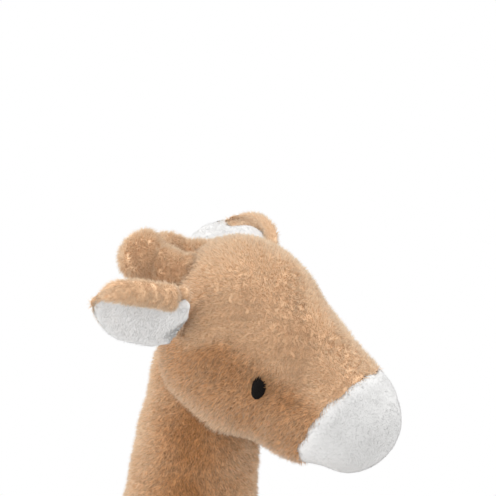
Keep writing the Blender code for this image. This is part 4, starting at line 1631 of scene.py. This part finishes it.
@dataclass
class Ear:
    """One ear: a tan back whose front edge is rolled over, and a white lining."""

    side: Side
    full_share: float = 0.38
    root_width: float = 0.020
    root_radius: float = 0.004
    layer: float = 0.0032
    sag: float = 0.003
    cup: float = 0.0045
    lining_start: float = 0.006
    inset: float = 0.0010
    rows: int = 56
    shapes: ClassVar[dict[Side, EarShape]] = {
        Side.RIGHT: EarShape(
            seat=(-0.912, 0.240, 0.335),
            reach=(-0.740, 0.650, 0.130),
            spread=(0.060, 0.280, -0.958),
            length=0.0445,
            width=0.029,
            roll=0.0066,
            lined_share=1.0,
            free_root=0.0145,
            free_width=0.0138,
            powers=(3.2, 2.8),
            tip_hang=-0.0030,
        ),
        Side.LEFT: EarShape(
            seat=(0.850, 0.410, 0.335),
            reach=(0.725, 0.610, 0.345),
            spread=(-0.506, 0.830, -0.233),
            length=0.0475,
            width=0.040,
            roll=0.0036,
            lined_share=0.72,
            free_root=0.010,
            free_width=0.0235,
            powers=(1.7, 1.8),
            tip_hang=0.0018,
        ),
    }

    @property
    def width(self) -> float:
        """The ear's full width."""
        return self.shapes[self.side].width

    @property
    def length(self) -> float:
        """The ear's length from its root to its tip."""
        return self.shapes[self.side].length

    def frame(self) -> tuple[np.ndarray, ...]:
        """Root, and the ways to the tip, from the rolled edge to the free one, and out of the lining."""
        shape = self.shapes[self.side]
        seat, reach = unit(shape.seat), unit(shape.reach)
        spread = flat_part(np.array(shape.spread), reach)
        clear = CROWN_RADIUS + self.root_radius + SEAM_GAP - 0.0005
        root = CROWN + seat * (clear / math.sqrt(1 - (spread @ seat) ** 2))
        return root, reach, spread, np.cross(reach, spread)

    def half_widths(self, place: np.ndarray) -> tuple[np.ndarray, np.ndarray]:
        """Widths on both sides of the middle: each opens on a sine and closes as an oval.

        Args:
            place: Places along the ear.

        Returns:
            Widths on the rolled side and on the free one.
        """
        shape = self.shapes[self.side]
        share = place / self.length
        opening = np.sin(np.clip(share / self.full_share, 0, 1) * math.pi / 2)
        past = np.clip((share - self.full_share) / (1 - self.full_share), 0, 1)
        root = self.root_width / 2
        rolled = (root + (shape.width / 2 - root) * opening) * np.sqrt(1 - past ** shape.powers[0])
        free = shape.free_root + (shape.free_width - shape.free_root) * opening
        return rolled, free * np.sqrt(1 - past ** shape.powers[1])

    def thickness(self, place: np.ndarray) -> np.ndarray:
        """Thickness of the back: round at the root, then one layer that thins at the tip.

        Args:
            place: Places along the ear.

        Returns:
            The thickness at each.
        """
        share = np.clip(place / self.lining_start, 0, 1)
        tip = np.sqrt(np.clip(1 - (np.maximum(place, 0) / self.length) ** 8, 0, 1))
        beyond = (2 * self.root_radius + (self.layer - 2 * self.root_radius) * share) * tip
        rounded = 2 * np.sqrt(np.clip(self.root_radius**2 - np.minimum(place, 0) ** 2, 1e-12, 1))
        return np.where(place < 0, rounded, beyond)

    def layer_at(self, place: np.ndarray, across: np.ndarray) -> np.ndarray:
        """The back's thickness, whose free side is one layer from the root on.

        Args:
            place: Places along the ear.
            across: Places across it.

        Returns:
            The thickness at each.
        """
        thickness = self.thickness(place)
        inwards = np.clip((0.011 - across) / 0.007, 0, 1)
        return np.minimum(thickness, self.layer + (thickness - self.layer) * inwards)

    def roll_radius(self, place: np.ndarray) -> np.ndarray:
        """Radius of the rolled edge: full beyond the root and small at the tip.

        Args:
            place: Places along the ear.

        Returns:
            The radius at each.
        """
        share = np.clip(place / self.lining_start, 0, 1)
        tip = np.sqrt(np.clip(1 - (np.maximum(place, 0) / self.length) ** 7, 0, 1))
        return np.maximum(self.thickness(place) / 2, share * self.shapes[self.side].roll * tip)

    def bowl(self, place: np.ndarray, across: np.ndarray) -> np.ndarray:
        """How far the sheet stands forward: more towards the tip, and with the square of the width."""
        share = np.clip(place / self.length, 0, 1)
        return self.cup * np.sin(share * math.pi / 2) * (across / (self.width / 2)) ** 2

    def set_out(self, place: np.ndarray, across: np.ndarray, face: np.ndarray) -> np.ndarray:
        """World points of places on the ear, which sags on a sine and hangs at the tip.

        Args:
            place: Places along it.
            across: Places across it.
            face: Places out of its face.

        Returns:
            One point for each.
        """
        root, reach, spread, out = self.frame()
        share = np.clip(place / self.length, 0, 1)
        hang = self.sag * np.sin(np.sqrt(share) * math.pi) + self.shapes[self.side].tip_hang * share**2
        point = root + place[..., None] * reach + (across + hang)[..., None] * spread
        return point + face[..., None] * out

    def over_free_edge(self, roots: np.ndarray, tips: np.ndarray) -> np.ndarray:
        """Which of the back's fibres stand out past the free edge, where the lining covers it.

        Args:
            roots: Roots of the fibres.
            tips: Tips of the fibres.

        Returns:
            True for each fibre to leave out.
        """
        root, reach, spread, out = self.frame()
        along, across = (roots - root) @ reach, (roots - root) @ spread
        near = across > self.half_widths(np.clip(along, 0, self.length))[1] * 0.72
        return near & (along > 0.004) & (unit(tips - roots) @ out > -0.45)

    def back_surface(self) -> Surface:
        """The back: across each row the sheet's far side, the curl of the roll, and the near side.

        Returns:
            The closed surface.
        """
        low = -self.root_radius * np.cos(np.radians(np.linspace(8, 90, 9)))
        sweep = np.linspace(math.asin(self.lining_start / self.length / 3), math.pi / 2, self.rows)
        place = np.concatenate((low, self.length * np.sin(sweep)[:-1]))[:, None]
        rolled, half = self.half_widths(np.maximum(place, 0))
        layer, roll = self.thickness(place), self.roll_radius(place)
        start = -rolled
        middle = self.bowl(place, start) - layer / 2 + roll
        inner = start + roll
        front = self.bowl(place, inner) + layer / 2
        rest = np.arccos(np.clip((middle - front) / roll, -1, 1))
        last = np.minimum(2 * math.pi - rest, 3 * math.pi / 2)
        behind = half + (start - half) * np.linspace(0, 1, 30)
        turns = last * np.linspace(0, 1, 26)[1:]
        before = inner + (half - inner) * np.linspace(0, 1, 30)
        across = np.concatenate((behind, start - roll * np.sin(turns), before), axis=1)
        face = np.concatenate(
            (
                self.bowl(place, behind) - self.layer_at(place, behind) / 2,
                middle - roll * np.cos(turns),
                self.bowl(place, before) + self.layer_at(place, before) / 2,
            ),
            axis=1,
        )
        rings = self.set_out(np.broadcast_to(place, across.shape), across, face)
        root, reach = self.frame()[:2]
        surface = Surface.from_rings(rings, root - reach * self.root_radius, root + reach * self.length)
        return surface.smoothed(3).raised(np.full(surface.points.shape[:2], -self.inset))

    def lining_surface(self) -> Surface:
        """The lining: before the back and beside its roll, swelling towards the middle.

        Beside the roll it stops short of the tip, where the back is turned over it.

        Returns:
            The closed surface.
        """
        sweep = np.linspace(0.015, math.pi / 2, self.rows)
        length = self.length
        place = (length * np.sin(sweep)[:-2])[:, None]
        rolled, half = self.half_widths(place)
        inner = -rolled + self.roll_radius(place) * 0.55
        outer = half + 0.0012
        rise = np.sqrt(np.clip(1 - ((place - length / 2) / (length / 2)) ** 6, 0, 1))
        share = np.linspace(0, 1, 34)
        under = inner + (outer - inner) * share
        over = under[:, ::-1]
        low = self.layer_at(place, under) / 2 - 0.0004
        swell = np.sqrt(np.clip(1 - (2 * share[::-1] - 1) ** 4, 0, 1)) * rise
        across = np.concatenate((under, over), axis=1)
        face = np.concatenate(
            (
                self.bowl(place, under) + low,
                self.bowl(place, over) + low[:, ::-1] + self.layer * (1 + swell) / 2 - 0.0003,
            ),
            axis=1,
        )
        turned_in = np.clip((1 - across / half) / 2, 0, 1) * (place / length) ** 2
        sunk = 0.0045 * np.clip(1 - place / 0.010, 0, 1) ** 2 * np.clip((0.012 - across) / 0.010, 0.1, 1)
        turned_in = (1 - self.shapes[self.side].lined_share) * length * turned_in
        rings = self.set_out(place - sunk - turned_in, across, face)
        first = self.set_out(place[0, 0] - 0.0042, np.array(0.002), low[0, 0] + np.array(0.001))
        tip = place[-1, 0]
        final = self.set_out(tip + 0.0004, np.array(0.0), self.bowl(tip, 0.0) + low[-1, 0])
        surface = Surface.from_rings(rings, first, final).smoothed(2)
        root, reach, spread, _ = self.frame()
        along, across = (surface.points - root) @ reach, (surface.points - root) @ spread
        pleats = np.cos(across / 0.0042 + 0.6) * np.exp(-((along / 0.012) ** 2))
        return surface.raised(surface.waves(0.0004, 0.016, 71) + 0.0009 * pleats - 0.0004)

    def build(self) -> list[bpy.types.Object]:
        """Make the back and the lining.

        Returns:
            The pieces.
        """
        _, reach, spread, _ = self.frame()
        seed = 85 + 3 * self.side.value
        name, nap = f"ear_{self.side.word}", tuple(reach * 0.5 + spread * 0.6)
        tan_pile = Pile(0.0035, 0.00042, 3.8, 48, nap, unrest=0.2, tangle=0.18, seed=seed)
        white_pile = Pile(
            0.0018, 0.0004, 3.4, 50, nap, unrest=0.15, tangle=0.12, swirl_size=0.006, seed=seed + 5
        )
        back = coat(
            f"{name}_back_coat",
            self.back_surface(),
            [(tan_pile, (0.0, 1.0))],
            TAN,
            name,
            (f"{name}_back",),
            bare=(self.over_free_edge,),
            tone_and_painted_shade=evenly(0.05),
        )
        lining = coat(
            f"{name}_lining_coat",
            self.lining_surface(),
            [(white_pile, (0.0, 1.0))],
            WHITE,
            name,
            (f"{name}_lining",),
            tone_and_painted_shade=evenly(0.0),
        )
        return [back, lining]


@dataclass
class Horn:
    """One horn: a knob on a short stem that lies back from the crown."""

    side: Side
    length: float = 0.0210
    root_radius: float = 0.0098
    root_ahead: float = 0.0045
    root_aside: float = 0.0055
    root_depth: float = 0.0012
    neck_radius: float = 0.0108
    knob_radius: float = 0.0141
    waist_deg: float = 66.0
    inset: float = 0.0020
    seats: ClassVar[dict[Side, tuple[float, float, float]]] = {
        Side.RIGHT: (-0.300, 0.650, 0.700),
        Side.LEFT: (0.275, 0.695, 0.660),
    }
    reaches: ClassVar[dict[Side, tuple[float, float, float]]] = {
        Side.RIGHT: (-0.110, 0.975, 0.177),
        Side.LEFT: (0.0, 0.996, -0.090),
    }

    def surface(self) -> Surface:
        """The turned horn: a knob, a round root and a straight waist, the knob hanging a little."""
        neck_deg = 180 - math.degrees(math.asin(self.neck_radius / self.knob_radius))
        knob = arc(-self.length - self.root_ahead, self.knob_radius - self.inset, 0, neck_deg)
        root = arc(0, self.root_radius, self.waist_deg, 180)
        profile = np.concatenate((knob, root))
        pivot = CROWN + unit(self.seats[self.side]) * (CROWN_RADIUS - self.root_depth)
        away = -unit(self.reaches[self.side])
        surface = turned(profile, pivot + away * self.root_ahead, away, 56, 60).smoothed(3)
        out = np.clip(-(surface.points - pivot) @ away / self.length, 0, 1)[..., None]
        aside = (1 - out) * np.array((self.side.value * self.root_aside, 0.0, -self.root_aside / 2))
        surface = Surface(surface.points + aside - out * np.array((0.0, 0.0, 0.0009)))
        return surface.raised(surface.waves(0.0004, 0.02, 91))

    def build(self) -> list[bpy.types.Object]:
        """Make the coat.

        Returns:
            The one piece.
        """
        name = f"horn_{self.side.word}"
        nap = -unit(self.reaches[self.side]) * 0.9 + np.array((0.0, 0.0, -0.25))
        pile = Pile(0.0042, 0.00042, 3.7, 38, tuple(nap), tangle=0.18, seed=95 + self.side.value)
        horn = coat(
            f"{name}_coat",
            self.surface(),
            [(pile, (0.0, 1.0))],
            TAN,
            name,
            (f"{name}_skin", f"{name}_filling"),
            bare=(inside(HEAD_FORM, HEAD_SINK),),
            tone_and_painted_shade=evenly(0.05),
        )
        return [horn]


@dataclass
class Tail:
    """The tail: a thin stuffed cord and a tuft of long pile at its end."""

    seat_deg: float = 30.0
    hang_deg: float = 26.0
    radius: float = 0.007
    end_radius: float = 0.006
    inset: float = 0.0015
    length: float = 0.056
    tuft_length: float = 0.036
    tuft_radius: float = 0.012

    def build(self) -> list[bpy.types.Object]:
        """Make the cord's coat and the tuft.

        Returns:
            The pieces.
        """
        seat, hang = math.radians(self.seat_deg), math.radians(self.hang_deg)
        rump = CHEST + np.array((0.0, RUMP_BACK, 0.0))
        clear = RUMP_RADIUS + self.radius + SEAM_GAP
        root = rump + np.array((0.0, math.cos(seat), math.sin(seat))) * clear
        down = np.array((0.0, math.sin(hang), -math.cos(hang)))
        tube = np.concatenate(
            (
                arc(0, self.radius - self.inset, 0, 90),
                arc(self.length, self.end_radius - self.inset, 90, 180),
            )
        )
        shares = np.linspace(0, 1, 60)
        swell = np.sin(math.pi * shares**0.8) * (self.tuft_radius - 0.0035)
        start = self.length + self.end_radius * 0.6
        bunch = np.column_stack((start + self.tuft_length * 0.8 * shares, np.maximum(swell, 0)))
        bunch[0, 1] = bunch[-1, 1] = 0
        cord_pile = Pile(0.0034, 0.00056, 2.4, 42, tuple(down), seed=101)
        long_pile = Pile(
            0.0090, 0.0006, 1.9, 66, tuple(down), unrest=0.25, tangle=0.16, swirl_size=0.006, seed=103
        )
        cord = coat(
            "tail_cord_coat",
            turned(tube, root, down, 36, 60),
            [(cord_pile, (0.0, 1.0))],
            TAN,
            "tail",
            ("tail_cord",),
        )
        tuft = coat(
            "tail_tuft_coat",
            turned(bunch, root, down, 36, 40),
            [(long_pile, (0.0, 1.0))],
            TAN,
            "tail",
            ("tail_tuft",),
        )
        return [cord, tuft]


@dataclass
class Studio:
    """Pale floor, white surround, soft lamps and the camera."""

    azimuth_deg: float = -62.0
    elevation_deg: float = 14.0
    distance: float = 1.6
    frame_width: float = 0.248
    sensor: float = 36.0
    floor_size: float = 6.0
    floor_tone: float = 0.86
    surround_level: float = 1.13
    lamp_aim: tuple[float, float, float] = (0.0, -0.02, 0.33)

    def directions(self) -> tuple[np.ndarray, ...]:
        """Directions from the toy to the camera, to the picture's right, and up the picture."""
        a, e = math.radians(self.azimuth_deg), math.radians(self.elevation_deg)
        back = np.array((math.sin(a) * math.cos(e), -math.cos(a) * math.cos(e), math.sin(e)))
        right = np.array((math.cos(a), math.sin(a), 0.0))
        return back, right, np.cross(back, right)

    def camera(self) -> bpy.types.Object:
        """A long lens aimed at the head, which fills most of the picture.

        Returns:
            The camera.
        """
        back, right, up = self.directions()
        target = CROWN + right * 0.0015 + up * 0.0385
        data = bpy.data.cameras.new("camera")
        data.sensor_width = self.sensor
        data.lens = self.sensor * self.distance / self.frame_width
        data.clip_end = 50
        camera = self.aimed("camera", data, target + back * self.distance, Vector(-back))
        bpy.context.scene.camera = camera
        return camera

    @staticmethod
    def aimed(name: str, data: bpy.types.ID, place: np.ndarray, heading: Vector) -> bpy.types.Object:
        """A camera or lamp at a place, turned to a heading with its top upwards.

        Args:
            name: Its name.
            data: Its data.
            place: Where it stands.
            heading: Where it looks.

        Returns:
            The new object.
        """
        item = placed(name, data)
        item.location = Vector(place)
        item.rotation_mode = "QUATERNION"
        item.rotation_quaternion = heading.to_track_quat("-Z", "Y")
        return item

    def lamp(self, name: str, place: np.ndarray, size: float, power: float) -> bpy.types.Object:
        """A square soft lamp aimed at the toy's neck.

        Args:
            name: Its name.
            place: Where it stands.
            size: Its side.
            power: Its power in watts.

        Returns:
            The lamp.
        """
        data = bpy.data.lights.new(name, "AREA")
        data.shape = "SQUARE"
        data.size = size
        data.energy = power
        return self.aimed(name, data, place, Vector(self.lamp_aim) - Vector(place))

    def floor(self) -> bpy.types.Object:
        """A plain pale floor that keeps the toy's shadow and fades to white away from it.

        Returns:
            The floor.
        """
        half = self.floor_size / 2
        data = bpy.data.meshes.new("floor")
        corners = [(-half, -half, 0), (half, -half, 0), (half, half, 0), (-half, half, 0)]
        data.from_pydata(corners, [], [(0, 1, 2, 3)])
        material = bpy.data.materials.new("pale_floor")
        material.use_nodes = True
        bench = NodeBench(material.node_tree)
        shader = bench.tree.nodes["Principled BSDF"]
        bench.feed(shader, {"Base Color": (*[self.floor_tone] * 3, 1), "Roughness": 0.9})
        spot = bench.add("TexCoord").outputs["Object"]
        away = bench.add("VectorMath", {0: spot}, operation="LENGTH").outputs["Value"]
        reach = {"From Min": 0.25, "From Max": 0.70, "To Min": 0.30, "Value": away}
        fade = bench.add("MapRange", reach).outputs["Result"]
        glow = bench.add("Emission", {"Color": (1, 1, 1, 1)})
        bench.show("Material Output", bench.math("MULTIPLY", fade, bench.seen()), shader, glow)
        data.materials.append(material)
        floor = placed("floor", data)
        return floor

    def surround(self) -> None:
        """White where it is seen, and a dimmer plain light on the toy."""
        world = bpy.data.worlds.new("surround")
        world.use_nodes = True
        bpy.context.scene.world = world
        bench = NodeBench(world.node_tree)
        lit = bench.tree.nodes["Background"]
        bench.feed(lit, {"Color": (1, 1, 1, 1), "Strength": self.surround_level})
        white = bench.add("Background", {"Color": (1, 1, 1, 1)})
        bench.show("World Output", bench.seen(), lit, white)

    def build(self) -> None:
        """Set up the whole studio."""
        back, right, _ = self.directions()
        self.camera()
        self.floor()
        self.surround()
        self.lamp("top_lamp", back * 0.55 + (0, 0, 1.75), 1.0, 9)
        self.lamp("left_lamp", back * 0.15 - right * 1.2 + (0, 0, 0.45), 0.9, 7)
        self.lamp("nose_lamp", right * 1.2 - back * 0.1 + (0, 0, 0.75), 0.8, 3)
        bpy.context.scene.view_settings.view_transform = "Standard"


def main() -> None:
    """Load the frame, dress it, and light it."""
    logging.basicConfig(level=logging.INFO, format="%(name)s %(message)s")
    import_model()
    Studio().build()
    legs = [Leg(end, side) for end in End for side in Side]
    made = Head().build() + Neck().build() + Body().build(legs)
    for leg in legs:
        made += leg.build()
    for side in Side:
        made += Ear(side).build() + Horn(side).build()
    made += Tail().build()
    LOG.info("%d pieces", len(made))


if __name__ == "__main__":
    main()
